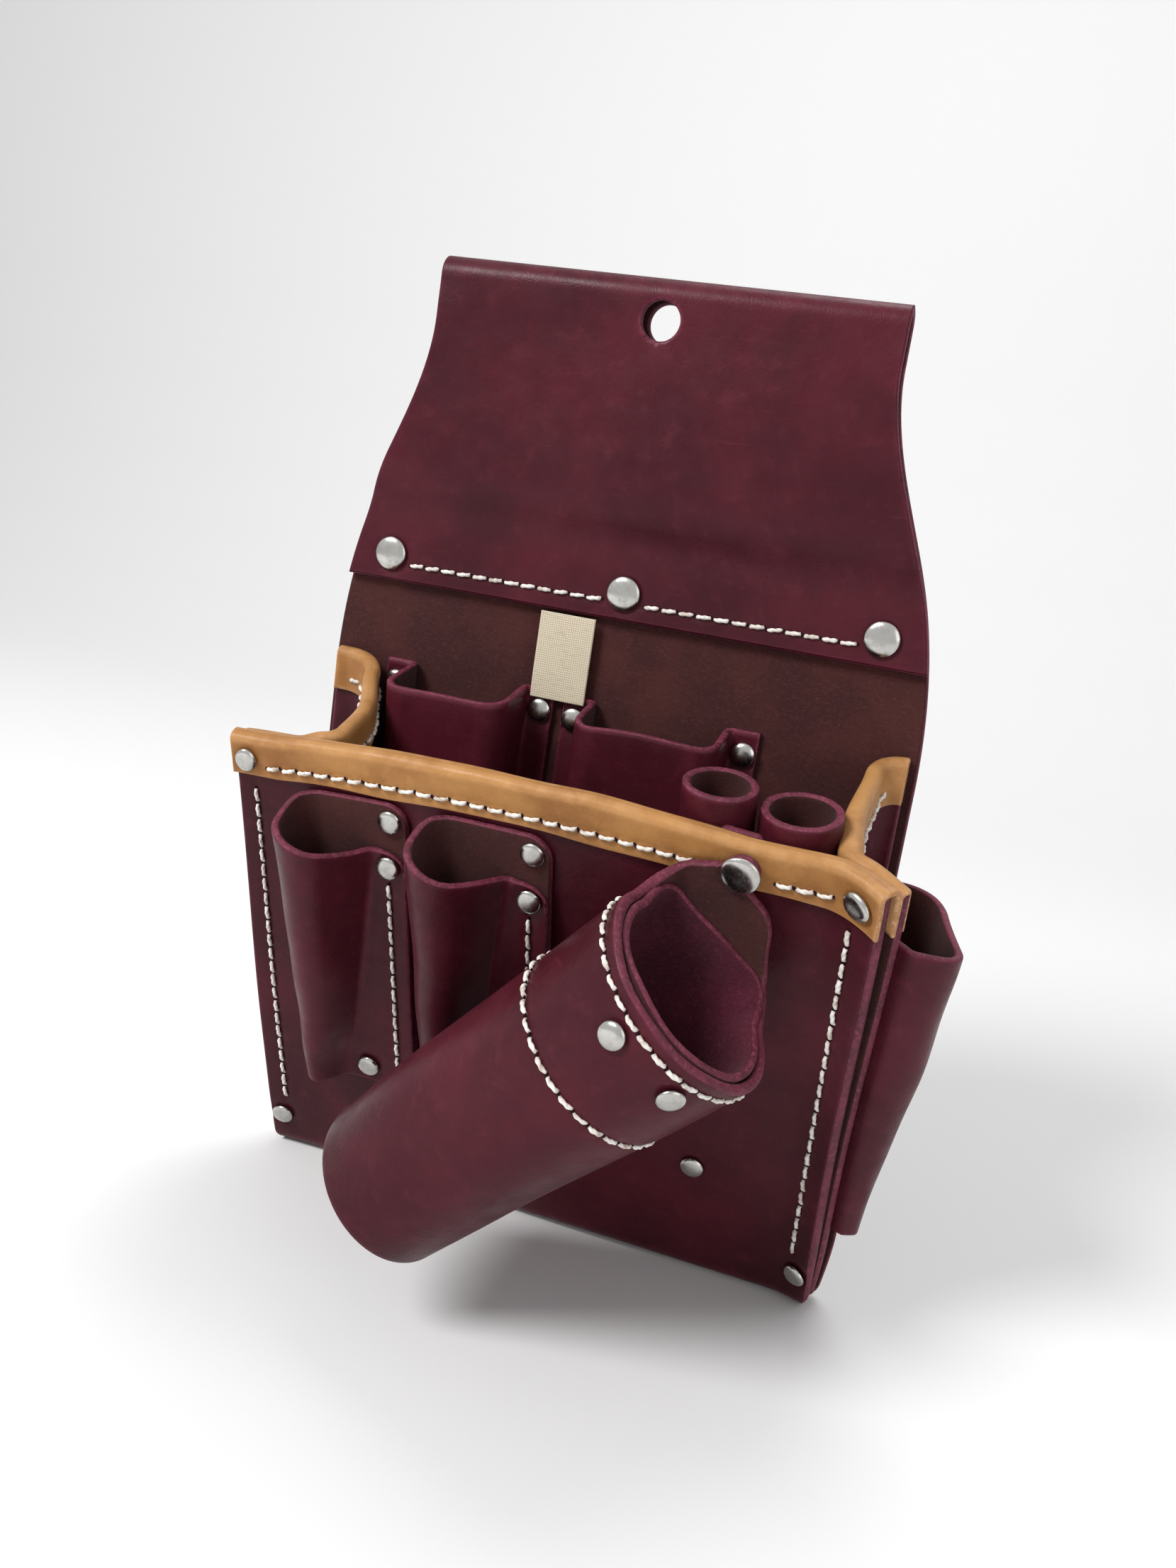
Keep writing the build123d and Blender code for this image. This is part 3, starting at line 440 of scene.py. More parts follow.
# ---- materials -------------------------------------------------------------------------------
class Nodes:
    """Short hand for building one material's node tree."""

    def __init__(self, name):
        self.material = bpy.data.materials.new(name)
        self.material.use_nodes = True
        self.tree = self.material.node_tree
        self.shader = self.tree.nodes["Principled BSDF"]
        self.place = self.tree.nodes.new("ShaderNodeTexCoord").outputs["Object"]

    def link(self, source, target):
        self.tree.links.new(source, target)

    def attribute(self, name):
        node = self.tree.nodes.new("ShaderNodeAttribute")
        node.attribute_name = name
        return node.outputs["Fac"]

    def stretched(self, scale, turn=(0, 0, 0)):
        node = self.tree.nodes.new("ShaderNodeMapping")
        node.inputs["Scale"].default_value = scale
        node.inputs["Rotation"].default_value = turn
        self.link(self.place, node.inputs["Vector"])
        return node.outputs[0]

    def noise(self, scale, detail=3.0, rough=0.55, place=None, distortion=0.0):
        node = self.tree.nodes.new("ShaderNodeTexNoise")
        node.inputs["Scale"].default_value = scale
        node.inputs["Detail"].default_value = detail
        node.inputs["Roughness"].default_value = rough
        node.inputs["Distortion"].default_value = distortion
        self.link(place or self.place, node.inputs["Vector"])
        return node.outputs["Fac"]

    def cells(self, scale, feature="F1", place=None):
        node = self.tree.nodes.new("ShaderNodeTexVoronoi")
        node.feature = feature
        node.inputs["Scale"].default_value = scale
        self.link(place or self.place, node.inputs["Vector"])
        return node.outputs["Distance"]

    def ramp(self, value, low, high, to_low=0.0, to_high=1.0):
        node = self.tree.nodes.new("ShaderNodeMapRange")
        node.interpolation_type = "SMOOTHSTEP"
        for socket, number in zip(("From Min", "From Max", "To Min", "To Max"),
                                  (low, high, to_low, to_high)):
            node.inputs[socket].default_value = number
        self.link(value, node.inputs["Value"])
        return node.outputs[0]

    def maths(self, kind, one, two):
        node = self.tree.nodes.new("ShaderNodeMath")
        node.operation = kind
        for socket, value in zip(node.inputs, (one, two)):
            if isinstance(value, (int, float)):
                socket.default_value = value
            else:
                self.link(value, socket)
        return node.outputs[0]

    def mix(self, share, one, two):
        """`share` is an output; the colours are each an output or a linear (red, green, blue)."""
        node = self.tree.nodes.new("ShaderNodeMix")
        node.data_type = "RGBA"
        sockets = [s for s in node.inputs if s.name in ("A", "B") and s.type == "RGBA"]
        self.link(share, node.inputs[0])
        for socket, value in zip(sockets, (one, two)):
            if isinstance(value, tuple):
                socket.default_value = (*value, 1.0)
            else:
                self.link(value, socket)
        return next(s for s in node.outputs if s.type == "RGBA")

    def bump(self, height, distance, strength=1.0, below=None):
        node = self.tree.nodes.new("ShaderNodeBump")
        node.inputs["Distance"].default_value = distance * MM
        node.inputs["Strength"].default_value = strength
        self.link(height, node.inputs["Height"])
        if below is not None:
            self.link(below, node.inputs["Normal"])
        return node.outputs[0]

    def finish(self, colour, roughness, normal, **constants):
        self.link(colour, self.shader.inputs["Base Color"])
        if isinstance(roughness, float):
            self.shader.inputs["Roughness"].default_value = roughness
        else:
            self.link(roughness, self.shader.inputs["Roughness"])
        self.link(normal, self.shader.inputs["Normal"])
        for name, value in constants.items():
            self.shader.inputs[name.replace("_", " ")].default_value = value
        return self.material


def srgb(red, green, blue):
    """Linear colour of an 8-bit screen colour."""
    return tuple(((c / 255 + 0.055) / 1.055) ** 2.4 if c > 10 else c / 3294.6
                 for c in (red, green, blue))


def grain_leather(name, dark, main, light, edge, roughness, gloss):
    """Smooth waxed side: mottled dye, fine pores, pull-up lightening with a painted highlight at
    bends, dyed worn edges.
    """
    n = Nodes(name)
    cloud = n.noise(22, 5.0, 0.6)
    fleck = n.noise(170, 4.0, 0.6)
    fibre = n.noise(60, 4.0, 0.6, n.stretched((1.0, 1.0, 5.0), (0.3, 0.2, 0.5)), 0.6)
    colour = n.mix(n.ramp(cloud, 0.34, 0.66), dark, main)
    colour = n.mix(n.ramp(fleck, 0.52, 0.80, 0.0, 0.30), colour, light)
    colour = n.mix(n.ramp(fibre, 0.58, 0.76, 0.0, 0.22), colour, dark)
    scuff = n.noise(46, 6.0, 0.72, n.stretched((1.0, 1.0, 7.0), (0.9, 0.3, 0.7)), 0.4)
    colour = n.mix(n.ramp(scuff, 0.60, 0.72, 0.0, 0.30), colour, light)
    # lighter where the sheet bends: the leather's pull-up together with a painted highlight along
    # the folds
    colour = n.mix(n.maths("MULTIPLY", n.attribute("bent"), n.ramp(fleck, 0.3, 0.7, 0.15, 0.5)),
                   colour, light)
    colour = n.mix(n.maths("MULTIPLY", n.attribute("worn"), n.ramp(fleck, 0.3, 0.62, 0.35, 1.0)),
                   colour, edge)
    pores = n.cells(1150)
    creases = n.cells(420, "DISTANCE_TO_EDGE", n.stretched((1.0, 1.0, 0.7)))
    bump = n.bump(n.ramp(pores, 0.0, 0.35), 0.045, 0.5)
    bump = n.bump(n.ramp(creases, 0.0, 0.09), 0.05, 0.45, bump)
    bump = n.bump(n.noise(900, 3.0), 0.05, 0.4, bump)
    bump = n.bump(n.noise(75, 4.0), 0.5, 0.30, bump)
    shine = n.ramp(n.noise(120, 5.0, 0.65), 0.3, 0.75, roughness - 0.07, roughness + 0.13)
    return n.finish(colour, shine, bump, Specular_IOR_Level=gloss, Coat_Weight=0.03,
                    Coat_Roughness=0.28)


def flesh_leather(name, dark, main, light, nap=0.10):
    """Rough side: short fibres that catch the light."""
    n = Nodes(name)
    cloud = n.noise(40, 5.0, 0.65)
    fibre = n.noise(760, 5.0, 0.75, n.stretched((1.0, 1.0, 1.7), (0.4, 0.7, 0.2)), 0.8)
    colour = n.mix(n.ramp(cloud, 0.33, 0.68), dark, main)
    colour = n.mix(n.ramp(fibre, 0.46, 0.72, 0.0, 0.55), colour, light)
    bump = n.bump(fibre, 0.30, 0.7)
    bump = n.bump(n.noise(1500, 2.0), nap, 0.6, bump)
    return n.finish(colour, n.ramp(cloud, 0.2, 0.8, 0.82, 0.96), bump, Specular_IOR_Level=0.12,
                    Sheen_Weight=0.05, Sheen_Roughness=0.6)


def cut_leather(name, dark, main, light):
    """Cut and dyed edge: layered fibres along the cut."""
    n = Nodes(name)
    layers = n.noise(700, 4.0, 0.7, distortion=0.8)
    colour = n.mix(n.ramp(n.noise(90, 4.0), 0.35, 0.65), dark, main)
    colour = n.mix(n.ramp(layers, 0.45, 0.68, 0.0, 0.8), colour, light)
    bump = n.bump(layers, 0.25, 0.7)
    return n.finish(colour, n.ramp(layers, 0.3, 0.7, 0.55, 0.8), bump, Specular_IOR_Level=0.35)


def nickel():
    n = Nodes("nickel_plate")
    haze = n.noise(260, 5.0, 0.65)
    scratch = n.noise(900, 3.0, 0.7, n.stretched((9.0, 1.0, 1.0), (0.4, 0.2, 0.9)))
    colour = n.mix(n.ramp(haze, 0.40, 0.75), (0.50, 0.49, 0.465), (0.36, 0.35, 0.325))
    rough = n.ramp(n.maths("ADD", haze, scratch), 0.75, 1.35, 0.15, 0.34)
    bump = n.bump(scratch, 0.02, 0.5)
    bump = n.bump(n.noise(330, 2.0), 0.06, 0.4, bump)
    return n.finish(colour, rough, bump, Metallic=1.0)


def thread():
    n = Nodes("waxed_thread")
    grime = n.noise(300, 4.0, 0.6)
    plies = n.noise(2600, 3.0, 0.6)
    colour = n.mix(n.ramp(grime, 0.42, 0.72), srgb(232, 228, 220), srgb(176, 160, 146))
    # the thread is darker towards both ends of each stitch, where it goes into the leather
    colour = n.mix(n.maths("MULTIPLY", n.attribute("worn"), 0.75), colour, srgb(96, 66, 62))
    return n.finish(colour, n.ramp(plies, 0.3, 0.7, 0.5, 0.75), n.bump(plies, 0.08, 0.7),
                    Specular_IOR_Level=0.4, Sheen_Weight=0.2, Sheen_Roughness=0.5)


# near-black colour of each awl hole: painted shade where the thread goes into the leather
def awl_hole_painted_shade():
    n = Nodes("awl_hole_painted_shade")
    shade = n.noise(900, 3.0)
    return n.finish(n.mix(shade, srgb(26, 10, 14), srgb(44, 18, 24)), 0.9, n.bump(shade, 0.1),
                    Specular_IOR_Level=0.1)


def woven_label():
    """Plain weave with slubs and a few darker threads."""
    n = Nodes("woven_label")
    warp = n.tree.nodes.new("ShaderNodeTexWave")
    weft = n.tree.nodes.new("ShaderNodeTexWave")
    for wave, direction in ((warp, "X"), (weft, "Z")):
        wave.bands_direction = direction
        wave.inputs["Scale"].default_value = 420
        wave.inputs["Distortion"].default_value = 0.6
        wave.inputs["Detail"].default_value = 2.0
        n.link(n.place, wave.inputs["Vector"])
    cross = n.maths("MULTIPLY", warp.outputs["Fac"], weft.outputs["Fac"])
    slub = n.noise(240, 4.0, 0.6, n.stretched((1.0, 1.0, 6.0)))
    colour = n.mix(n.ramp(cross, 0.0, 0.7), srgb(188, 174, 150), srgb(224, 214, 194))
    colour = n.mix(n.ramp(slub, 0.5, 0.75, 0.0, 0.5), colour, srgb(172, 156, 132))
    bump = n.bump(cross, 0.09, 0.8)
    bump = n.bump(n.noise(120, 3.0), 0.3, 0.4, bump)
    return n.finish(colour, 0.85, bump, Specular_IOR_Level=0.2, Sheen_Weight=0.3,
                    Sheen_Roughness=0.5)


def backdrop():
    n = Nodes("paper_backdrop")
    n.shader.inputs["Base Color"].default_value = (0.86, 0.86, 0.86, 1.0)
    n.shader.inputs["Roughness"].default_value = 0.9
    n.shader.inputs["Specular IOR Level"].default_value = 0.1
    return n.material


BURGUNDY = [
    grain_leather("burgundy_grain", srgb(58, 18, 26), srgb(75, 23, 34), srgb(98, 38, 51),
                  srgb(106, 42, 60), 0.37, 0.13),
    flesh_leather("burgundy_flesh", srgb(56, 27, 28), srgb(70, 36, 34), srgb(92, 54, 50)),
    cut_leather("burgundy_cut", srgb(78, 24, 40), srgb(100, 34, 54), srgb(132, 64, 84)),
]
TAN = [
    grain_leather("tan_grain", srgb(140, 92, 50), srgb(178, 128, 75), srgb(197, 150, 100),
                  srgb(188, 142, 94), 0.42, 0.16),
    flesh_leather("tan_flesh", srgb(172, 124, 80), srgb(192, 146, 100), srgb(210, 172, 130)),
    cut_leather("tan_cut", srgb(166, 116, 72), srgb(192, 144, 98), srgb(212, 174, 134)),
]
SUEDE = [
    flesh_leather("lining_suede", srgb(62, 20, 33), srgb(82, 29, 45), srgb(110, 52, 68), 0.16),
    flesh_leather("lining_back", srgb(56, 25, 30), srgb(72, 36, 40), srgb(98, 58, 60)),
    BURGUNDY[2],
]
NICKEL = [nickel()]
THREAD = [thread(), awl_hole_painted_shade()]
LABEL = [woven_label()]


def leather(name, materials, node, grid, thickness, grain, body="pouch", **how):
    """A piece that is one sheet of leather and stands for a CAD node."""
    piece = Piece(name, materials)
    piece.sheet(grid, thickness, grain, **how)
    finish_piece(piece, body, "tan_leather" if materials is TAN else "burgundy_leather", node)


# ---- rivets ----------------------------------------------------------------------------------
SMALL_CAP_R, LARGE_CAP_R, PIVOT_CAP_R, SMALL_BACK_R, POST_R = 4.0, 5.6, 5.8, 2.8, 1.7
CAP_RISE, CAP_EDGE, BACK_CAP_T = 1.9, 0.5, 1.0
SEAT_GAP, PIVOT_LIFT = 0.1, 0.4
COS_LEAN = cos(PANEL_LEAN)
TAB_FACE = -PANEL_T - TRIM_T
PIVOT_X, PIVOT_S = 64.0, PANEL_LENGTH - 5.5
TRIM_RIVET = (EDGE - 5.2, PANEL_LENGTH - 7.0)
CORNER_RIVET = (EDGE - 5.0, 15.0)
LOW_RIVET = (58.0, 48.0)
FLAP_RIVET_XS = (-83.5, 0.0, 83.5)
FLAP_RIVET_Z = FLAP_LOW_Z + 9.0
SHEATHS = {"pencil_sheath": (-80.0, -46.0), "driver_sheath": (-35.0, 1.0)}
SHEATH_TOP, SHEATH_LIP, SHEATH_FOOT = PANEL_LENGTH - 14.5, PANEL_LENGTH - 27.0, 49.0
SHEATH_MARGIN, FOOT_RIVET_IN, FOOT_RIVET_UP = 6.0, 11.2, 7.0
SHEATH_STACK = 2 * POCKET_T + SEAT_GAP
# left and right x, lip and foot above the bottom fold, depth at the lip and at the foot
INNER_POCKETS = {"level_pocket": (-70.5, -29.5, 183.0, 75.0, 25.0, 12.0),
                 "wrench_pocket": (-5.0, 41.0, 182.0, 88.0, 21.0, 12.0)}
INNER_FLANGE, INNER_LIP_RISE, INNER_RIVET_OUT = 10.5, 5.0, 6.2


def trim_stack(s):
    """From the front panel's face through panel, gusset and its binding."""
    return PANEL_T + seam_gap(s * COS_LEAN) + (GUSSET_T + TRIM_T) * COS_LEAN + 2 * SEAT_GAP


def front_seat(x, s, h):
    return Seat(front(x, s, h), (1, 0, 0), OUT)


def back_seat(x, z, y):
    return Seat((x, y, z), (1, 0, 0), (0, -1, 0))


def rivet_profile(grip, cap_r, back_r):
    """Domed cap, post and back cap, turned in one; `grip` is the leather between the caps."""
    dome = [(0.0, CAP_RISE)]
    for share in (0.12, 0.25, 0.38, 0.5, 0.62, 0.73, 0.83, 0.91, 0.96, 0.99, 1.0):
        height = CAP_EDGE + (CAP_RISE - CAP_EDGE) * sqrt(max(0.0, 1 - share ** 2.6))
        dome.append((cap_r * share, height))
    foot = -grip - BACK_CAP_T
    under = [(cap_r * 1.0, CAP_EDGE * 0.55), (cap_r * 0.97, CAP_EDGE * 0.2),
             (cap_r * 0.9, 0.0), (POST_R, 0.0), (POST_R, -grip), (back_r * 0.94, -grip),
             (back_r, -grip - 0.2), (back_r, foot + 0.25), (back_r * 0.93, foot),
             (back_r * 0.4, foot), (0.0, foot + 0.12)]
    return dome + under


# what a grip is short of the whole stack, where the back cap lies inside the pouch's back face
FLUSH = BACK_CAP_T + 0.1
# name: list of (seat, grip, front cap's radius, back cap's radius)
RIVETS = {
    "flap_rivets": [(back_seat(x, FLAP_RIVET_Z, FLAP_FACE_Y), -FLAP_FACE_Y - FLUSH,
                     LARGE_CAP_R, LARGE_CAP_R) for x in FLAP_RIVET_XS],
    "holster_pivot_rivet": [(front_seat(PIVOT_X, PIVOT_S, TONGUE_FACE + PIVOT_LIFT),
                             TONGUE_FACE + PIVOT_LIFT - TAB_FACE + POCKET_T,
                             PIVOT_CAP_R, SMALL_BACK_R)],
    "trim_rivets": [(front_seat(side * TRIM_RIVET[0], TRIM_RIVET[1], TRIM_T),
                     TRIM_T + trim_stack(TRIM_RIVET[1]), SMALL_CAP_R, SMALL_BACK_R)
                    for side in (-1, 1)],
    "corner_rivets": [(front_seat(side * CORNER_RIVET[0], CORNER_RIVET[1], 0),
                       PANEL_T + seam_gap(CORNER_RIVET[1]) + GUSSET_T, SMALL_CAP_R, SMALL_BACK_R)
                      for side in (-1, 1)],
    "front_low_rivet": [(front_seat(*LOW_RIVET, 0), PANEL_T + 2 * POCKET_T,
                         SMALL_CAP_R, SMALL_CAP_R)],
    "inner_pocket_rivets": [
        (back_seat(x, FLOOR_Z + lip - 3.0, -PANEL_T - POCKET_T), PANEL_T + POCKET_T - FLUSH,
         SMALL_CAP_R, SMALL_CAP_R)
        for left, right, lip, foot, depth, foot_depth in INNER_POCKETS.values()
        for x in (left - INNER_RIVET_OUT, right + INNER_RIVET_OUT)],
}
for sheath, (fold_x, seam_x) in SHEATHS.items():
    RIVETS[sheath + "_rivets"] = [
        (front_seat(x, s, stack), PANEL_T + stack, SMALL_CAP_R, SMALL_CAP_R)
        for x, s, stack in ((seam_x, SHEATH_TOP - 6.0, POCKET_T),
                            (seam_x, SHEATH_LIP - 8.5, SHEATH_STACK),
                            (seam_x - FOOT_RIVET_IN, SHEATH_FOOT + FOOT_RIVET_UP, SHEATH_STACK))]


# ---- hammer holster's tube -------------------------------------------------------------------
HOLSTER_SWING, HOLSTER_LEAN = radians(43.8), radians(8.4)
HOLSTER_SIDE, HOLSTER_DROP = 11.0, 17.5
MOUTH_R, TAIL_R, HOLSTER_LENGTH, LINING_DEPTH = 30.6, 26.0, 125.0, 38.0
COLLAR_SEAM_DEPTH = LINING_DEPTH - 3
MOUTH = np.array([HOLSTER_SIDE, -HOLSTER_DROP, TONGUE_BACK + MOUTH_R * cos(HOLSTER_LEAN)])
TUBE_AXIS = np.array([0.0, -cos(HOLSTER_LEAN), sin(HOLSTER_LEAN)])
TUBE_FRONT = np.array([0.0, sin(HOLSTER_LEAN), cos(HOLSTER_LEAN)])


def tube_radius(depth):
    return MOUTH_R - (MOUTH_R - TAIL_R) * depth / HOLSTER_LENGTH


def swung(local):
    """Points of the holster drawn hanging straight, at the pivot, in the pouch's frame at rest."""
    x, s, h = local[..., 0], local[..., 1], local[..., 2]
    turn_sin, turn_cos = sin(-HOLSTER_SWING), cos(-HOLSTER_SWING)
    return front(PIVOT_X + x * turn_cos - s * turn_sin, PIVOT_S + x * turn_sin + s * turn_cos, h)


def tube_point(depth, angle, lift):
    """`angle` is 0 straight out from the panel, and `lift` is off the tube's outer face."""
    depth, angle = np.broadcast_arrays(np.asarray(depth, float), np.asarray(angle, float))
    outward = (np.sin(angle)[..., None] * np.array([1.0, 0, 0])
               + np.cos(angle)[..., None] * TUBE_FRONT)
    return MOUTH + depth[..., None] * TUBE_AXIS + outward * (tube_radius(depth) + lift)[..., None]


def tube_seat(depth, angle, lift):
    place = swung(tube_point(depth, angle, lift))
    outward = swung(tube_point(depth, angle, lift + 1.0)) - place
    beside = swung(tube_point(depth, angle + 0.01, lift)) - place
    return Seat(place, beside, outward)


# the flat caps stand a little off the round leather on both sides
CAP_OUTSIDE, CAP_INSIDE = 0.17, 0.34
COLLAR_RIVET_DEPTH, COLLAR_RIVET_ANGLE, COLLAR_BACK_R = 11.0, radians(22), 3.0
RIVETS["holster_rivets"] = [(tube_seat(COLLAR_RIVET_DEPTH, angle, CAP_OUTSIDE),
                             PANEL_T + LINING_T + SEAT_GAP + CAP_OUTSIDE + CAP_INSIDE,
                             SMALL_CAP_R, COLLAR_BACK_R)
                            for angle in (-COLLAR_RIVET_ANGLE, COLLAR_RIVET_ANGLE)]


# ---- rows of thread --------------------------------------------------------------------------
def seam(start, end, outward):
    """Seats of stitches along a straight line."""
    start, end = np.array(start, float), np.array(end, float)
    length = np.linalg.norm(end - start)
    along = (end - start) / length
    count = int(length / STITCH_PITCH)
    first = (length - (count - 1) * STITCH_PITCH) / 2
    return [Seat(start + along * (first + STITCH_PITCH * k), along, outward) for k in range(count)]


def line_seam(line, outward):
    """Seats of stitches along a bent line of points with the ways off the leather."""
    run = np.concatenate([[0], np.cumsum(np.linalg.norm(np.diff(line, axis=0), axis=-1))])
    count = int(run[-1] / STITCH_PITCH)
    marks = (run[-1] - (count - 1) * STITCH_PITCH) / 2 + STITCH_PITCH * np.arange(count)
    pick = [np.stack([np.interp(marks + shift, run, table[:, k]) for k in range(3)], -1)
            for table, shift in ((line, 0), (line, 0.5), (outward, 0))]
    return [Seat(place, ahead - place, out) for place, ahead, out in zip(*pick)]


def front_seam(start, end, out):
    return seam(front(*start, out), front(*end, out), OUT)


def tube_seam(depth, half_angle):
    """Seats of stitches round the front of the holster's tube."""
    step = degrees(STITCH_PITCH / tube_radius(depth))
    count = int(2 * half_angle / step)
    return [tube_seat(depth, radians(step * (k - (count - 1) / 2)), 0.0) for k in range(count)]


def flap_rows():
    cap, z = LARGE_CAP_R + 1, FLAP_LOW_Z + 6.0
    return sum([seam((a + cap, FLAP_FACE_Y, z), (b - cap, FLAP_FACE_Y, z), (0, -1, 0))
                for a, b in zip(FLAP_RIVET_XS, FLAP_RIVET_XS[1:])], [])


def trim_rows():
    s, rivet = PANEL_LENGTH - TRIM_DROP + 4, TRIM_RIVET[0] - SMALL_CAP_R - 1
    cap = PIVOT_CAP_R + 1
    return (front_seam((-rivet, s), (PIVOT_X - cap, s), TRIM_T)
            + front_seam((PIVOT_X + cap, s), (rivet, s), TRIM_T))


def side_rows(hand):
    x = hand * (EDGE - SEAM_INSET)
    return front_seam((x, CORNER_RIVET[1] + 6), (x, PANEL_LENGTH - TRIM_DROP - 2), 0)


SEAMS = {
    "flap_stitches": flap_rows(),
    "trim_front_stitches": trim_rows(),
    "side_seam_stitches_left": side_rows(-1),
    "side_seam_stitches_right": side_rows(1),
    "holster_lip_stitches": tube_seam(4.5, 130),
    "holster_collar_stitches": tube_seam(COLLAR_SEAM_DEPTH, 130),
}
for sheath, (fold_x, seam_x) in SHEATHS.items():
    SEAMS[sheath + "_stitches"] = front_seam((seam_x, SHEATH_FOOT + 2),
                                             (seam_x, SHEATH_LIP - 13.5), SHEATH_STACK)


RIVET_DENT, THREAD_DENT, HOLE_DENT, DEEPEST_DENT = 0.55, 0.22, 0.30, 0.75


def stitch_holes(seats):
    return [seat.carry(np.array([[end * STITCH_PITCH / 2, 0, 0]]))[0]
            for seat in seats for end in (-1, 1)]


def pressing(grid, rivet_groups=(), seam_groups=()):
    """How deep rivets and thread pull the grain side in."""
    depth = np.zeros(grid.shape[:2])
    for group in rivet_groups:
        for seat, grip, cap_r, back_r in RIVETS[group]:
            far = np.linalg.norm(grid - seat.origin, axis=-1)
            ring = np.maximum(far - cap_r, 0)
            depth += RIVET_DENT * np.exp(-(ring / 1.7) ** 2) * (far < 5 * cap_r)
    for group in seam_groups:
        seats = SEAMS[group]
        line = [seat.carry(np.array([[k, 0, 0]]))[0] for seat in seats
                for k in np.linspace(-STITCH_PITCH / 2, STITCH_PITCH / 2, 7)]
        for dent, reach, places in ((THREAD_DENT, 1.0, line), (HOLE_DENT, 0.8, stitch_holes(seats))):
            beside = np.maximum(distance_to(grid, places) - 1.2, 0)
            depth += dent * np.exp(-(beside / reach) ** 2)
    return np.minimum(depth, DEEPEST_DENT)


THREAD_R, THREAD_SIDES = 0.58, 10
# (radius, height) of the dimple round a thread's end, which is coloured near black as painted shade
AWL_HOLE = [(0.0, 0.06), (0.30, 0.05), (0.50, 0.0), (0.56, -0.08), (0.50, -0.4), (0.0, -0.5)]


def thread_piece(name, seats, seed):
    """Stitches of two-ply waxed thread that dive into their awl holes."""
    piece = Piece(name + "_thread", THREAD)
    draw = np.random.default_rng(seed)
    stations = np.linspace(-1, 1, 13)
    turns = np.arange(THREAD_SIDES) * 2 * pi / THREAD_SIDES
    for seat in seats:
        skew, swell = draw.normal(0.09, 0.035), draw.normal(1.0, 0.05)
        reach = (STITCH_LENGTH / 2 + 0.45) * draw.normal(1.0, 0.03)
        radius = THREAD_R * swell * (1 - 0.22 * np.abs(stations) ** 3)
        lift = 0.40 - 1.25 * np.abs(stations) ** 4.5
        middle = np.stack([stations * reach, stations * reach * skew, lift], -1)
        twist = stations[:, None] * 3.4 + draw.uniform(0, pi)
        lobes = 1 + 0.16 * np.cos(2 * (turns[None, :] - twist))
        bow = np.arctan2(np.gradient(lift), np.gradient(stations * reach))[:, None]
        rise = np.sin(turns)[None, :] * radius[:, None] * lobes
        wide = np.cos(turns)[None, :] * radius[:, None] * lobes * 1.12
        rings = np.stack([middle[:, None, 0] - np.sin(bow) * rise, middle[:, None, 1] + wide,
                          middle[:, None, 2] + np.cos(bow) * rise], -1)
        # how near each point is to the stitch's ends, where the thread is drawn darker
        worn = smooth(np.abs(np.concatenate([[1], stations, [1]])), 0.72, 1.0)
        piece.sweep(seat.carry(middle), seat.carry(rings), 0, np.repeat(worn, THREAD_SIDES))
        for end in (-1, 1):
            spot = seat.carry(np.array([[end * (reach + 0.1), end * reach * skew, 0]]))[0]
            # each end sits in a dimple painted near black: painted shade of the awl hole
            piece.lathe(Seat(spot, seat.along, seat.outward), AWL_HOLE, THREAD_SIDES, 1)
    return piece


# ---- main sheet ------------------------------------------------------------------------------
def half_width(z):
    """Half of the main sheet's width at a height: narrow at the top fold, in one smooth curve out
    to the flap's lower edge and on to the bag's width, with rounded bottom corners."""
    waist_z, skirt_z, shoulder_z = TOP_Z - 18, TOP_Z - 88, TOP_Z - 143
    stops = np.array([shoulder_z, skirt_z, waist_z])
    widths = np.array([EDGE, FLAP_LOW_HALF - 0.8, FLAP_TOP_HALF])
    slopes = np.array([0.0, -(widths[0] - widths[2]) / (stops[2] - stops[0]) * 1.25, 0.0])
    half = np.where(z > waist_z, FLAP_TOP_HALF, EDGE)
    for k in (0, 1):
        inside = (z >= stops[k]) & (z <= stops[k + 1])
        span = stops[k + 1] - stops[k]
        t = np.clip((z - stops[k]) / span, 0, 1)
        curve = ((2 * t ** 3 - 3 * t ** 2 + 1) * widths[k]
                 + (t ** 3 - 2 * t ** 2 + t) * span * slopes[k]
                 + (-2 * t ** 3 + 3 * t ** 2) * widths[k + 1]
                 + (t ** 3 - t ** 2) * span * slopes[k + 1])
        half = np.where(inside, curve, half)
    drop = np.clip(FLOOR_Z - 1 + CORNER_R - z, 0, CORNER_R)
    return half - CORNER_R + np.sqrt(CORNER_R ** 2 - drop ** 2)


